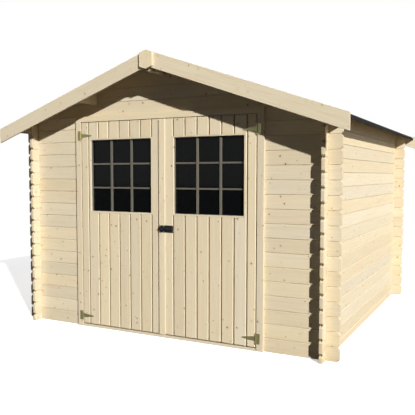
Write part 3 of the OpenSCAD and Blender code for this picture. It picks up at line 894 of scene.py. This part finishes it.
class SHED_OT_floor(bpy.types.Operator):
    """Lays the floor boards, cut round the door frame"""

    bl_idname = "shed.floor"
    bl_label = "Floor boards"

    def execute(self, context):
        timber = context.scene.shed_timber
        low, high = corners("floor")
        frame_x, frame_y = corners("right_door_post")[1][:2]
        boards = Boards(timber.seed * 100 + 21)
        rows = round((high[1] - low[1]) / timber.floor_board)
        edges = np.linspace(low[1], high[1], rows + 1)
        for y0, y1 in zip(edges, edges[1:]):
            outline = rectangle(low[0], high[0], y0, y1)
            if y0 < frame_y:
                outline = notched(outline, y0, [(-frame_x, frame_x)], frame_y - y0)
            reach = joint_reach(outline, [y0, y1], *FLOOR_JOINT)
            boards.board(outline, reach, high[2], high[2] * Z, X, Y)
        boards.made("floor_boards", "cabin", "floor")
        return {"FINISHED"}


# ---- Roof ----------------------------------------------------------------------------

ROOF_JOINT = 0.9            # V between two roof boards, as a share of that of the planks
END_ARRIS = 0.001           # rounding of a beam's or a post's sawn end


def slope_axes(side):
    """Down one side's slope, level along it so that a board's face looks up, and square
    to the face."""
    down = np.array([side * COS, 0.0, -SIN])
    return down, side * Y, np.cross(down, side * Y)


def plumb(local):
    """Leans a sloping board so that both of its ends are plumb."""
    return local + np.outer(local[:, 2] * SLOPE, (1, 0, 0))


class SHED_OT_roof_timber(bpy.types.Operator):
    """Builds the ridge beam, the purlins and the boards on them"""

    bl_idname = "shed.roof_timber"
    bl_label = "Roof timber"

    def execute(self, context):
        timber = context.scene.shed_timber
        seed = timber.seed * 100 + 31
        for k, node in enumerate(("ridge_beam", "left_purlin", "right_purlin")):
            low, high = corners(node)
            outline = under_roof(rectangle(low[0], high[0], low[2], APEX_Z), PLAY)
            one_board(seed + k, f"planed_{node}", "cabin", node,
                      rounded(outline, BEAM_ARRIS, 3), END_ARRIS, high[1] - low[1],
                      low[1] * Y, X, Z, drawn_out=True)
        rows = round((ROOF_Y1 - ROOF_Y0) / timber.roof_board)
        for k, (label, side) in enumerate(SIDES):
            boards = Boards(seed + 3 + k)
            edges = np.linspace(ROOF_Y0, ROOF_Y1, rows + 1) * side
            for v0, v1 in zip(edges, edges[1:]):
                outline = rectangle(0.0, SLOPE_LENGTH, min(v0, v1), max(v0, v1))
                reach = joint_reach(outline, [v0, v1], timber.joint * ROOF_JOINT, FINE_ARRIS)
                boards.board(outline, reach, BOARD_RISE * COS, ROOF_TOP,
                             *slope_axes(side)[:2], rim=FINE_RIM, back=V_RIM, lean=plumb)
            boards.made(f"roof_boarding_{label}", "cabin", f"roof_boards_{label}")
        return {"FINISHED"}


class SHED_OT_fascias(bpy.types.Operator):
    """Builds the gable fascias and the six-sided plates over their joints"""

    bl_idname = "shed.fascias"
    bl_label = "Fascias"

    def execute(self, context):
        seed = context.scene.shed_timber.seed * 100 + 41
        turn = np.array([[COS, SIN], [-SIN, COS]])
        for end, facing in (("front", 1), ("back", -1)):
            for label, side in SIDES:
                node = f"{end}_fascia_{label}"
                low, high = corners(node)
                reach_x = max(-low[0], high[0])
                rise = high[2] - low[2] - SLOPE * reach_x
                # In the view from outside, u runs down the slope on its right-hand side
                way = side * facing
                flat = np.array([[0, high[2] - rise], [reach_x, low[2]],
                                 [reach_x, low[2] + rise], [0, high[2]]]) @ turn
                outline = flat if way > 0 else mirrored(flat)
                self.plank(seed, f"{end}_barge_{label}", node, facing, outline,
                           (facing * COS, 0, -way * SIN), (way * facing * SIN, 0, COS))
                seed += 1
            node = f"{end}_ridge_plate"
            low, high = corners(node)
            half, rise = high[0], SLOPE * high[0]
            outline = np.array([[low[2], 0], [low[2] + rise, -half], [high[2] - rise, -half],
                                [high[2], 0], [high[2] - rise, half], [low[2] + rise, half]])
            self.plank(seed, f"{end}_joint_plate", node, facing, outline, Z, -facing * X)
            seed += 1
        return {"FINISHED"}

    def plank(self, seed, name, node, facing, outline, along, across):
        """One board as thick as the CAD node, with its face on the node's outer side."""
        low, high = corners(node)
        face = (low if facing > 0 else high)[1] * Y
        one_board(seed, name, "cabin", node, outline, BEAM_ARRIS, high[1] - low[1], face,
                  along, across)


# ---- Felt ----------------------------------------------------------------------------

LAP_AT = 0.46               # middle of the lap, as a share of the way down the slope
RIDGE_GAP = 0.004           # from the ridge to the upper strip
EAVE_FOLD = 0.024           # how far the felt hangs down over the eave
FOLD_R = 0.006              # radius of that fold
RIDGE_R = 0.012             # distance within which the ridge strip bends
RIDGE_PLAY = 0.0022         # from the strips on the slopes to the ridge strip
LAP_RAMP = 0.02             # length over which the upper strip climbs onto the lower
WAVE, RIDGE_WAVE = 0.0009, 0.0006  # height of the felt's unevenness
NAIL_IN = 0.02              # from a lapped edge to its row of nails
EAVE_NAILS = 0.03           # from the eave and from the verges to the nails
# Height of the felt's face under each row of nails, in thicknesses and metres: on the
# lap, over the eave and on the ridge strip
NAIL_LIFTS = ((2.4, 0.0005), (1.3, 0.0005), (2.6, 0.0015))
NAIL_DOME = 0.0012          # height of a clout nail's head
ALONG = 60                  # points along the ridge in a sheet of felt


def sheet_shell(middle, normal, thick):
    """Closed thin sheet from a grid of points: the grid moved by half the thickness to
    both sides along its normals, joined round the rim. Returns points and faces."""
    rows, columns = middle.shape[:2]
    both = np.concatenate([middle + normal * thick / 2, middle - normal * thick / 2])
    index = np.arange(rows * columns).reshape(rows, columns)
    top = np.stack([index[:-1, :-1], index[1:, :-1], index[1:, 1:], index[:-1, 1:]], 2)
    bottom = top[..., ::-1] + rows * columns
    loop = np.concatenate([index[0, :-1], index[:-1, -1], index[-1, :0:-1], index[:0:-1, 0]])
    after = np.roll(loop, -1)
    rim = np.stack([loop, after, after + index.size, loop + index.size], 1)
    faces = np.concatenate([top.reshape(-1, 4), bottom.reshape(-1, 4), rim])
    return both.reshape(-1, 3), faces


def waves(s, t, seed, size):
    """Sum of six plane waves of random direction and phase, at most size high."""
    random = np.random.default_rng(seed)
    total = np.zeros(np.broadcast(s, t).shape)
    for _ in range(6):
        a, b = random.normal(0, 6.0, 2)
        total = total + np.sin(a * s + b * t + random.uniform(0, math.tau))
    return total * size / 6


def felt_strip(side, u0, u1, lift, thick, seed, fold=0.0):
    """Points and normals of one strip of felt: u runs down the slope and v along the
    ridge, and the height over the boards is a few waves and the lift, which is given as
    places down the slope and heights there. A fold bends the last part over the eave:
    an arc of FOLD_R about a level axis, and then straight down."""
    down, _, up = slope_axes(side)
    uu, vv = np.meshgrid(np.linspace(u0, u1, 26), np.linspace(ROOF_Y0, ROOF_Y1, ALONG),
                         indexing="ij")
    height = np.interp(uu, *lift) + thick / 2 + waves(uu, vv, seed, WAVE) + WAVE
    middle = ROOF_TOP + uu[..., None] * down + vv[..., None] * Y + height[..., None] * up
    normal = np.broadcast_to(up, middle.shape)
    if fold > 0:
        angle = np.linspace(0, math.pi / 2 - ANGLE, 7)[1:, None, None]
        sin, cos = np.sin(angle), np.cos(angle)
        arc = middle[-1] + FOLD_R * (sin * down - (1 - cos) * up)
        arc_normal = np.broadcast_to(cos * up + sin * down, arc.shape)
        hang = arc[-1] - np.linspace(0, fold, 5)[1:, None, None] * Z
        middle = np.concatenate([middle, arc, hang])
        normal = np.concatenate([normal, arc_normal, np.broadcast_to(side * X, hang.shape)])
    return middle, normal


def dome(radius, height, rings=4, spokes=14):
    """Low dome: height times the cosine of a quarter turn from the middle to the rim, with
    a short straight edge under it. Closed at the foot."""
    t = np.linspace(0, 1, rings + 1)[1:] * math.pi / 2
    r = np.append(radius * np.sin(t), radius)[:, None]
    z = np.append(height * np.cos(t), -height * 0.6)[:, None]
    a = np.arange(spokes) * math.tau / spokes
    return capped(height, np.stack([r * np.cos(a), r * np.sin(a), z + 0 * a], 2))


class SHED_OT_felt(bpy.types.Operator):
    """Lays the felt in strips from the eaves up, with a ridge strip and clout nails"""

    bl_idname = "shed.felt"
    bl_label = "Roof felt"

    def execute(self, context):
        roof = context.scene.shed_roof
        thick, lap = roof.felt_t, roof.felt_lap
        middle = SLOPE_LENGTH * LAP_AT
        lift = ([middle - lap, middle - lap / 2 - LAP_RAMP, middle + lap],
                [0, thick, thick])
        for label, side, seed in (("left", -1, 51), ("right", 1, 61)):
            eave = felt_strip(side, middle - lap / 2, SLOPE_LENGTH, ([0], [0]), thick, seed,
                              EAVE_FOLD)
            upper = felt_strip(side, RIDGE_GAP, middle + lap / 2, lift, thick, seed + 1)
            shells = [sheet_shell(*strip, thick) for strip in (eave, upper)]
            mesh = joined(f"felt_{label}", [(p, faces[:, ::side].tolist())
                                            for p, faces in shells])
            placed(mesh, f"felt_strips_{label}", "cabin", "felt",
                   f"roof_felt_{label}")
        self.ridge(roof, thick)
        self.nails(roof, thick, middle + lap / 2)
        return {"FINISHED"}

    def ridge(self, roof, thick):
        """The strip over the ridge: at x from it, SLOPE * sqrt(x^2 + r^2) lower, which is
        both slopes joined by a bend of about r, with a few waves."""
        x = np.linspace(-1, 1, 31) * roof.ridge_cap * COS
        bend = np.sqrt(x ** 2 + RIDGE_R ** 2)
        lift = (thick * 1.5 + RIDGE_PLAY) / COS
        z = -SLOPE * (bend - RIDGE_R * 0.55) + lift + ROOF_TOP[2]
        xx, vv = np.meshgrid(x, np.linspace(ROOF_Y0, ROOF_Y1, ALONG), indexing="ij")
        middle = np.stack([xx, vv, z[:, None] + waves(xx, vv, 71, RIDGE_WAVE)], 2)
        normal = unit(np.stack([SLOPE * x / bend, 0 * x, 1 + 0 * x], 1))
        points, faces = sheet_shell(middle, normal[:, None, :], thick)
        mesh = joined("felt_ridge", [(points, faces.tolist())])
        placed(mesh, "felt_ridge_strip", "cabin", "felt")

    def nails(self, roof, thick, lap_end):
        """Rows of clout nails on the lap, over the eave and on the ridge strip's edge."""
        count = round((ROOF_Y1 - ROOF_Y0) / roof.nail_pitch)
        ys = np.linspace(ROOF_Y0 + EAVE_NAILS, ROOF_Y1 - EAVE_NAILS, count)
        places, normals = [], []
        for side in (-1, 1):
            down, _, up = slope_axes(side)
            rows = (lap_end - NAIL_IN, SLOPE_LENGTH - EAVE_NAILS,
                    roof.ridge_cap - NAIL_IN)
            for u, (sheets, rise) in zip(rows, NAIL_LIFTS):
                lift = sheets * thick + rise
                places += list(ROOF_TOP + u * down + lift * up + ys[:, None] * Y)
                normals += [up] * count
        mesh = scattered("clout_nails", dome(roof.nail_head, NAIL_DOME), places, normals)
        placed(mesh, "clout_nails", "cabin", "bright")


# ---- Door frame and leaves -----------------------------------------------------------

SILL_PLAY = 0.006           # between each end of the sill's front and the door post
WINDOW_FRAME_W = 0.036      # face width of the window frame on the back of a leaf
WINDOW_CHAMFER = 0.0035     # chamfer round the opening in the leaf's face
MITRE_ARRIS = 0.0001        # rounding of that frame's mitres
MEETING_REBATE = 0.012      # width of the rebate in the left leaf's meeting edge
LATH_T = 0.005              # thickness of the lath at the back of that rebate
RAIL_H = 0.090              # height of a rail on the back of a leaf
RAIL_ARRIS = 0.003          # rounding of such a rail
NARROWEST = 0.008           # least width of a leaf's board
MOST_BOARDS = 9             # more than any leaf takes


class SHED_OT_door_frame(bpy.types.Operator):
    """Builds the grooved and rebated posts, the head and the sill"""

    bl_idname = "shed.door_frame"
    bl_label = "Door frame"

    def execute(self, context):
        seed = context.scene.shed_timber.seed * 100 + 81
        low, high = corners("right_door_post")
        leaf = corners("right_leaf")[1]
        half_door = corners("door_sill")[1][0]
        gap = half_door - leaf[0]
        stop_y = leaf[1] + gap
        wall_y = FRONT_Y + PLANK_T
        section = np.array([[half_door, low[1]], [high[0], low[1]], [high[0], FRONT_Y],
                            [POST_X, FRONT_Y], [POST_X, wall_y], [high[0], wall_y],
                            [high[0], high[1]], [low[0], high[1]], [low[0], stop_y],
                            [half_door, stop_y]])
        for k, (label, side) in enumerate(SIDES):
            outline = section if side > 0 else mirrored(section)
            one_board(seed + k, f"grooved_post_{label}", "cabin", f"{label}_door_post",
                      rounded(outline, FRAME_ARRIS), END_ARRIS, high[2], high[2] * Z, X, Y,
                      drawn_out=True)
        # The head's front part stops over the leaves, and the sill's short of the posts
        stop_half, sill_low = low[0], corners("door_sill")[0][2]
        for k, (node, front_low, play) in enumerate((("door_head", leaf[2] + gap, 0.0),
                                                     ("door_sill", sill_low, SILL_PLAY))):
            low, high = corners(node)
            boards = Boards(seed + 2 + k)
            for y0, y1, z0, half in ((low[1], stop_y, front_low, half_door - play),
                                     (stop_y, high[1], low[2], stop_half)):
                boards.board(rounded(rectangle(y0, y1, z0, high[2]), FRAME_ARRIS),
                             THIN_ARRIS, 2 * half, half * X, Y, Z, drawn_out=True)
            boards.made(f"planed_{node}", "cabin", node)
        return {"FINISHED"}


def mitred(boards, centre, half, width, thick, face_y, facing, reach, rim=ROUND_RIM,
           back=None):
    """Four mitred bars round a square opening, all with the grain along them. reach may
    list the opening's edge, a mitre, the outer edge and the other mitre."""
    outer = half + width
    bar = np.array([[-half, half], [half, half], [outer, outer], [-outer, outer]])
    origin = np.array([centre[0], face_y, centre[2]])
    for quarter in range(4):
        cos, sin = math.cos(quarter * math.pi / 2), math.sin(quarter * math.pi / 2)
        boards.board(bar, reach, thick, origin, facing * cos * X + sin * Z,
                     -facing * sin * X + cos * Z, rim=rim, back=back)


def window(label):
    """Middle of a leaf's window and half the width of the opening, which lies the window
    frame's width inside the frame's outer edge."""
    low, high = corners(f"{label}_window_frame")
    return sum(corners(f"{label}_glass")) / 2, (high[0] - low[0]) / 2 - WINDOW_FRAME_W


class SHED_OT_leaves(bpy.types.Operator):
    """Builds both door leaves: upright boards, window frames, rails and cover strip"""

    bl_idname = "shed.leaves"
    bl_label = "Door leaves"

    def execute(self, context):
        timber = context.scene.shed_timber
        seed = timber.seed * 100 + 91
        for k, (label, side) in enumerate(SIDES):
            self.front(timber, label, side, seed + 4 * k)
            self.backing(label, seed + 4 * k + 1)
        low, high = corners("cover_strip")
        one_board(seed + 8, "meeting_strip", "right_door", "cover_strip",
                  rectangle(low[2], high[2], -high[0], -low[0]), timber.arris,
                  high[1] - low[1], low[1] * Y, Z, -X)
        return {"FINISHED"}

    def front(self, timber, label, side, seed):
        """Upright boards, cut out round the window and its flush frame."""
        low, high = corners(f"{label}_leaf")
        middle, half = window(label)
        band = half + timber.window_band
        thick = high[1] - low[1]
        gap = corners("door_sill")[1][0] - corners("right_leaf")[1][0]
        cuts = [x for x in side * (np.arange(1, MOST_BOARDS) * timber.leaf_board - gap)
                if low[0] + NARROWEST < x < high[0] - NARROWEST]
        # The left leaf's meeting edge has a rebate, which a lath closes at the back
        right_edge = high[0] - (MEETING_REBATE if side < 0 else 0.0)
        meeting = right_edge if side < 0 else low[0]
        xs = sorted([low[0], *cuts, right_edge])
        # The boards stop short of the leaf's lowest line, where rain would soak them
        foot = low[2] + timber.leaf_foot
        boards = Boards(seed)
        zone_x, zone_z = ((middle[i] - band, middle[i] + band) for i in (0, 2))
        for x0, x1 in zip(xs, xs[1:]):
            log = boards.draw()
            v0, v1 = -x1, -x0
            inside = min(x1, zone_x[1]) - max(x0, zone_x[0])
            outlines = [rectangle(foot, high[2], v0, v1)]
            if inside > x1 - x0 - NEAR:
                outlines = [rectangle(foot, zone_z[0], v0, v1),
                            rectangle(zone_z[1], high[2], v0, v1)]
            elif inside > 0:
                level, depth = (v0, inside) if x1 > zone_x[0] > x0 else (v1, -inside)
                outlines = [notched(outlines[0], level, [zone_z], depth)]
            # All edges but the two that meet are taken back as the grooves are
            joints = [v for v in (v0, v1) if -v != meeting]
            shift = boards.random.uniform(0.0, PLAY) * Y
            for outline in outlines:
                reach = joint_reach(outline, joints, timber.leaf_groove, FINE_ARRIS)
                boards.board(outline, reach, thick - PLAY, low[1] * Y + shift, Z, -X,
                             rim=GROOVE_RIM, back=FINE_RIM, log=log)
        if side < 0:
            boards.board(rectangle(foot, high[2], -high[0], -right_edge), FINE_ARRIS, LATH_T,
                         (high[1] - LATH_T) * Y, Z, -X)
        mitred(boards, middle, half, timber.window_band, thick, low[1], 1,
               (WINDOW_CHAMFER, MITRE_ARRIS, 2 * MITRE_ARRIS, MITRE_ARRIS), CHAMFER_RIM,
               FINE_RIM)
        boards.made(f"boarded_leaf_{label}", f"{label}_door", f"{label}_leaf")

    def backing(self, label, seed):
        """The rails and the window frame on the back of a leaf."""
        low, high = corners(f"{label}_ledges")
        boards = Boards(seed)
        for z0 in (low[2], high[2] - RAIL_H):
            boards.board(rectangle(-high[0], -low[0], z0, z0 + RAIL_H), RAIL_ARRIS,
                         high[1] - low[1], high[1] * Y, -X, Z)
        boards.made(f"planed_rails_{label}", f"{label}_door", f"{label}_ledges")
        low, high = corners(f"{label}_window_frame")
        boards = Boards(seed + 1)
        mitred(boards, *window(label), WINDOW_FRAME_W, high[1] - low[1], high[1], -1,
               BEAM_ARRIS)
        boards.made(f"mitred_frame_{label}", f"{label}_door", f"{label}_window_frame",
                    "stained_pine")


BAR_ARRIS = 0.002           # rounding of an upright glazing bar
GLAZING_ARRIS = 0.001       # rounding of a level one


class SHED_OT_glazing(bpy.types.Operator):
    """Glazes both windows, with a lining, two upright bars and two level bars"""

    bl_idname = "shed.glazing"
    bl_label = "Glazing"

    def execute(self, context):
        for label, seed in (("left", 101), ("right", 102)):
            refinish(f"{label}_glass", "glass")
            boards = Boards(context.scene.shed_timber.seed * 100 + seed)
            self.bars(context.scene.shed_fittings, boards, label)
            boards.made(f"glazing_bars_{label}", f"{label}_door", None, "stained_pine")
        return {"FINISHED"}

    def bars(self, fittings, boards, label):
        """The lining and the bars, which stop against the glass. The level bars run
        between the upright ones."""
        glass_y = corners(f"{label}_glass")[0][1]
        (x, _, z), half = window(label)
        inner = half - fittings.lining_t
        lining_y = corners(f"{label}_leaf")[0][1] + fittings.lining_back
        mitred(boards, (x, 0, z), inner, fittings.lining_t, glass_y - lining_y, lining_y, 1,
               THIN_ARRIS)
        sixth, w, h = half / 3, fittings.bar_w / 2, fittings.rail_w / 2
        for at in (x - sixth, x + sixth):
            boards.board(rectangle(z - inner, z + inner, -at - w, -at + w), BAR_ARRIS,
                         fittings.bar_t, (glass_y - fittings.bar_t) * Y, Z, -X,
                         back=SQUARE_RIM)
        ends = [x - inner, x - sixth - w, x - sixth + w, x + sixth - w, x + sixth + w,
                x + inner]
        for at in (z - sixth, z + sixth):
            for x0, x1 in zip(ends[::2], ends[1::2]):
                boards.board(rectangle(x0, x1, at - h, at + h), GLAZING_ARRIS,
                             fittings.rail_t, (glass_y - fittings.rail_t) * Y, X, Z,
                             back=SQUARE_RIM)


# ---- Ironwork ------------------------------------------------------------------------

IRON_T = 0.0025             # thickness of the hinge and bolt plates
HINGE_FACE = 0.008          # from the foremost line of a hinge back to its plates' face
# Screws: how far from the outer end of a plate or from the leaf's end of a strap, and up
PLATE_SCREWS = ((0.012, -0.031), (0.012, 0.0), (0.012, 0.031))
STRAP_SCREWS = ((0.012, 0.0), (0.055, 0.0), (0.098, -0.010), (0.098, 0.010))
PLATE_HALF, STRAP_HALF = 0.042, 0.021   # half the heights of a plate and a strap
BOLT_SCREW, GUIDE_SCREW = (0.024, 0.009), (0.009, 0.009)    # in from the plates' corners
RETURN_T = 0.0016           # thickness of the guide plate's return down the strip
RETURN_ARRIS = 0.0003


def screw_head(radius):
    """Raised head with a cross recess: a dome whose height drops by a fixed depth where
    the angle is near one of four arms, within 0.6 of its radius."""
    r = np.linspace(0, 1, 7)[1:, None]
    a = np.arange(24) * math.tau / 24
    height = 0.34 * np.sqrt(1 - (r * 0.96) ** 2)
    cross = (np.abs(np.sin(2 * a)) * r < 0.30) & (r < 0.62)
    rings = radius * np.stack([r * np.cos(a), r * np.sin(a), height - cross * 0.22], 2)
    foot = rings[-1:] * (1, 1, 0) - (0, 0, 0.1 * radius)
    return capped(0.12 * radius, np.concatenate([rings, foot]))


class SHED_OT_ironwork(bpy.types.Operator):
    """Finishes the hinges and the bolt, and sets their screws"""

    bl_idname = "shed.ironwork"
    bl_label = "Ironwork"

    def execute(self, context):
        head = screw_head(context.scene.shed_fittings.screw_r)
        for label, side in SIDES:
            face = corners(f"{label}_hinge_plates")[0][1] + HINGE_FACE
            for part, body, way, half, screws in (
                    ("plate", "cabin", -side, PLATE_HALF, PLATE_SCREWS),
                    ("strap", f"{label}_door", side, STRAP_HALF, STRAP_SCREWS)):
                node = f"{label}_hinge_{part}s"
                refinish(node, "plated")
                low, high = corners(node)
                start = (low if way > 0 else high)[0]
                places = [(start + way * away, face, z + up)
                          for z in (low[2] + half, high[2] - half) for away, up in screws]
                self.screws(head, f"{part}_screws_{label}", body, places, "plated",
                            "plated_steel")
        self.bolt(head)
        return {"FINISHED"}

    def screws(self, head, name, body, places, key, slot):
        """One piece of all the screws at these places, facing forward."""
        placed(scattered(name, head, places, [-Y] * len(places)), name, body, key)

    def bolt(self, head):
        """The screws of both plates, and the return of the guide plate down the strip."""
        for node in ("bolt_plate", "door_bolt", "bolt_guide"):
            refinish(node, "iron")
        strip_low, strip_high = corners("cover_strip")
        for node, y, margin, key in (
                ("bolt_plate", strip_high[1], BOLT_SCREW, "iron"),
                ("bolt_guide", strip_low[1], GUIDE_SCREW, "bright")):
            low, high = (corner[[0, 2]] for corner in corners(node))
            (x0, z0), (x1, z1) = low + margin, high - margin
            places = [(x, y - IRON_T, z) for x in (x0, x1) for z in (z0, z1)]
            self.screws(head, f"{node}_screws", "right_door", places, key, "black_iron")
        low, high = corners("bolt_guide")
        boards = Boards(0)
        boards.board(rectangle(-strip_high[0] - RETURN_T, -strip_high[0], low[2], high[2]),
                     RETURN_ARRIS, strip_high[1] - strip_low[1] + IRON_T,
                     strip_high[1] * Y, -X, Z)
        boards.made("bolt_guide_return", "right_door", None, "iron")


# ---- Stage ---------------------------------------------------------------------------

FLOOR_HALF = 60.0           # half the width of the studio's floor
FLOOR_FADE = (3.5, 8.0)     # distances over which the floor fades to plain white
FLOOR_SEEN = 0.86           # grey of the floor to the camera
FLOOR_LIT = 0.07            # and to all other light, so that little comes back up
FILL_SPREAD = (-0.25, 0.95)     # cosines over which the fill grows towards the back
SIDE_FILL = {"energy": 90.0, "shape": "RECTANGLE", "size": 6.0, "size_y": 4.0}
SIDE_FILL_PLACE = (9.0, 1.5, 3.0)
SIDE_FILL_TRAVEL = (-8.0, -0.5, -2.0)


class SHED_OT_stage(bpy.types.Operator):
    """Sets a pale floor, a key light with fill from all round, and the camera"""

    bl_idname = "shed.stage"
    bl_label = "Stage"

    def execute(self, context):
        scene = context.scene
        stage = scene.shed_stage
        self.floor(stage)
        self.surroundings(scene, stage)
        self.lamp("key", "SUN", stage.key_travel, energy=stage.sun, angle=stage.key_size)
        lamp = self.lamp("side_fill", "AREA", SIDE_FILL_TRAVEL, **SIDE_FILL)
        lamp.location = SIDE_FILL_PLACE

        lens = bpy.data.cameras.new("camera")
        lens.sensor_width = 36.0
        lens.lens = stage.lens
        lens.shift_x, lens.shift_y = stage.shift
        lens.clip_end = 200.0
        camera = linked("camera", lens)
        camera.location = stage.place
        camera.rotation_euler = (math.pi / 2 - stage.dip, 0.0, stage.pan)
        scene.camera = camera
        scene.view_settings.view_transform = "Standard"
        return {"FINISHED"}

    def lamp(self, name, kind, travel, **settings):
        """A light that shines this way."""
        light = bpy.data.lights.new(name, kind)
        for key, value in settings.items():
            setattr(light, key, value)
        lamp = linked(name, light)
        lamp.rotation_mode = "QUATERNION"
        lamp.rotation_quaternion = Vector(travel).to_track_quat("-Z", "Y")
        return lamp

    def surroundings(self, scene, stage):
        """White to the camera and in reflections. The light that it gives grows from the
        side of the key light to the side that lies opposite."""
        scene.world = bpy.data.worlds.new("studio")
        f = Nodes(scene.world)
        path = f.node("LightPath").outputs
        seen = f.math("MAXIMUM", path["Is Camera Ray"], path["Is Glossy Ray"])
        way = f.vector("DOT_PRODUCT", f.place("Generated"),
                       Vector(stage.back_way).normalized())
        fill = f.span(way, *FILL_SPREAD, stage.fill, stage.back_fill, smooth=True)
        back = f.node("Background", {"Color": (1.0, 1.0, 1.0),
                                     "Strength": f.span(seen, 0.0, 1.0, fill, 1.0)})
        f.node("OutputWorld", back.outputs[:1])

    def floor(self, stage):
        """Pale matt floor that the camera sees lifted to white where the light is full,
        and that fades to plain white away from the shed."""
        square = rectangle(-FLOOR_HALF, FLOOR_HALF, -FLOOR_HALF, FLOOR_HALF)
        ground = np.full((4, 1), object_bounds()[0][2])
        mesh = bpy.data.meshes.new("studio_floor")
        mesh.from_pydata(np.hstack([square, ground]), [], [(0, 1, 2, 3)])
        linked("studio_floor", mesh)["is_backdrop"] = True
        f = Nodes(bpy.data.materials.new("studio_floor"))
        mesh.materials.append(f.owner)
        away = f.vector("LENGTH", f.stretch(f.place(), 1.0, 1.0, 0.0))
        white = f.span(away, *FLOOR_FADE, smooth=True)
        seen = f.node("LightPath").outputs["Is Camera Ray"]
        matt = f.node("BsdfDiffuse", [f.mix(seen, [FLOOR_LIT] * 3, [FLOOR_SEEN] * 3)])
        lift = f.node("Emission", {"Strength": f.times(seen, stage.floor_lift)})
        lifted = f.node("AddShader", (matt.outputs[0], lift.outputs[0])).outputs[0]
        glow = f.node("Emission", {"Strength": 1.0}).outputs[0]
        both = f.node("MixShader", (f.times(white, seen), lifted, glow))
        f.node("OutputMaterial", both.outputs[:1])


# ---- Panel and registration ----------------------------------------------------------

SETTINGS = (
    ("shed_timber", ShedTimberSettings),
    ("shed_roof", ShedRoofSettings),
    ("shed_fittings", ShedFittingSettings),
    ("shed_stage", ShedStageSettings),
)
OPERATORS = (SHED_OT_walls, SHED_OT_gables, SHED_OT_floor, SHED_OT_roof_timber,
             SHED_OT_fascias, SHED_OT_felt, SHED_OT_door_frame, SHED_OT_leaves,
             SHED_OT_glazing, SHED_OT_ironwork, SHED_OT_stage)


class SHED_PT_panel(bpy.types.Panel):
    """Lists the shed's settings and its steps in order"""

    bl_idname = "SHED_PT_panel"
    bl_label = "Garden Shed"
    bl_space_type = "VIEW_3D"
    bl_region_type = "UI"
    bl_category = "Shed"

    def draw(self, context):
        for name, group in SETTINGS:
            box = self.layout.box()
            for key in group.__annotations__:
                box.prop(getattr(context.scene, name), key)
        for operator in OPERATORS:
            self.layout.operator(operator.bl_idname)


def register():
    """Registers the settings, the steps and the panel."""
    for name, group in SETTINGS:
        bpy.utils.register_class(group)
        setattr(bpy.types.Scene, name, PointerProperty(type=group))
    for item in (*OPERATORS, SHED_PT_panel):
        bpy.utils.register_class(item)


def unregister():
    """Takes everything out again, in reverse."""
    for item in (SHED_PT_panel, *reversed(OPERATORS)):
        bpy.utils.unregister_class(item)
    for name, group in reversed(SETTINGS):
        delattr(bpy.types.Scene, name)
        bpy.utils.unregister_class(group)


def main():
    """Registers the add-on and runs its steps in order."""
    register()
    for operator in OPERATORS:
        group, name = operator.bl_idname.split(".")
        getattr(getattr(bpy.ops, group), name)()


if __name__ == "__main__":
    main()
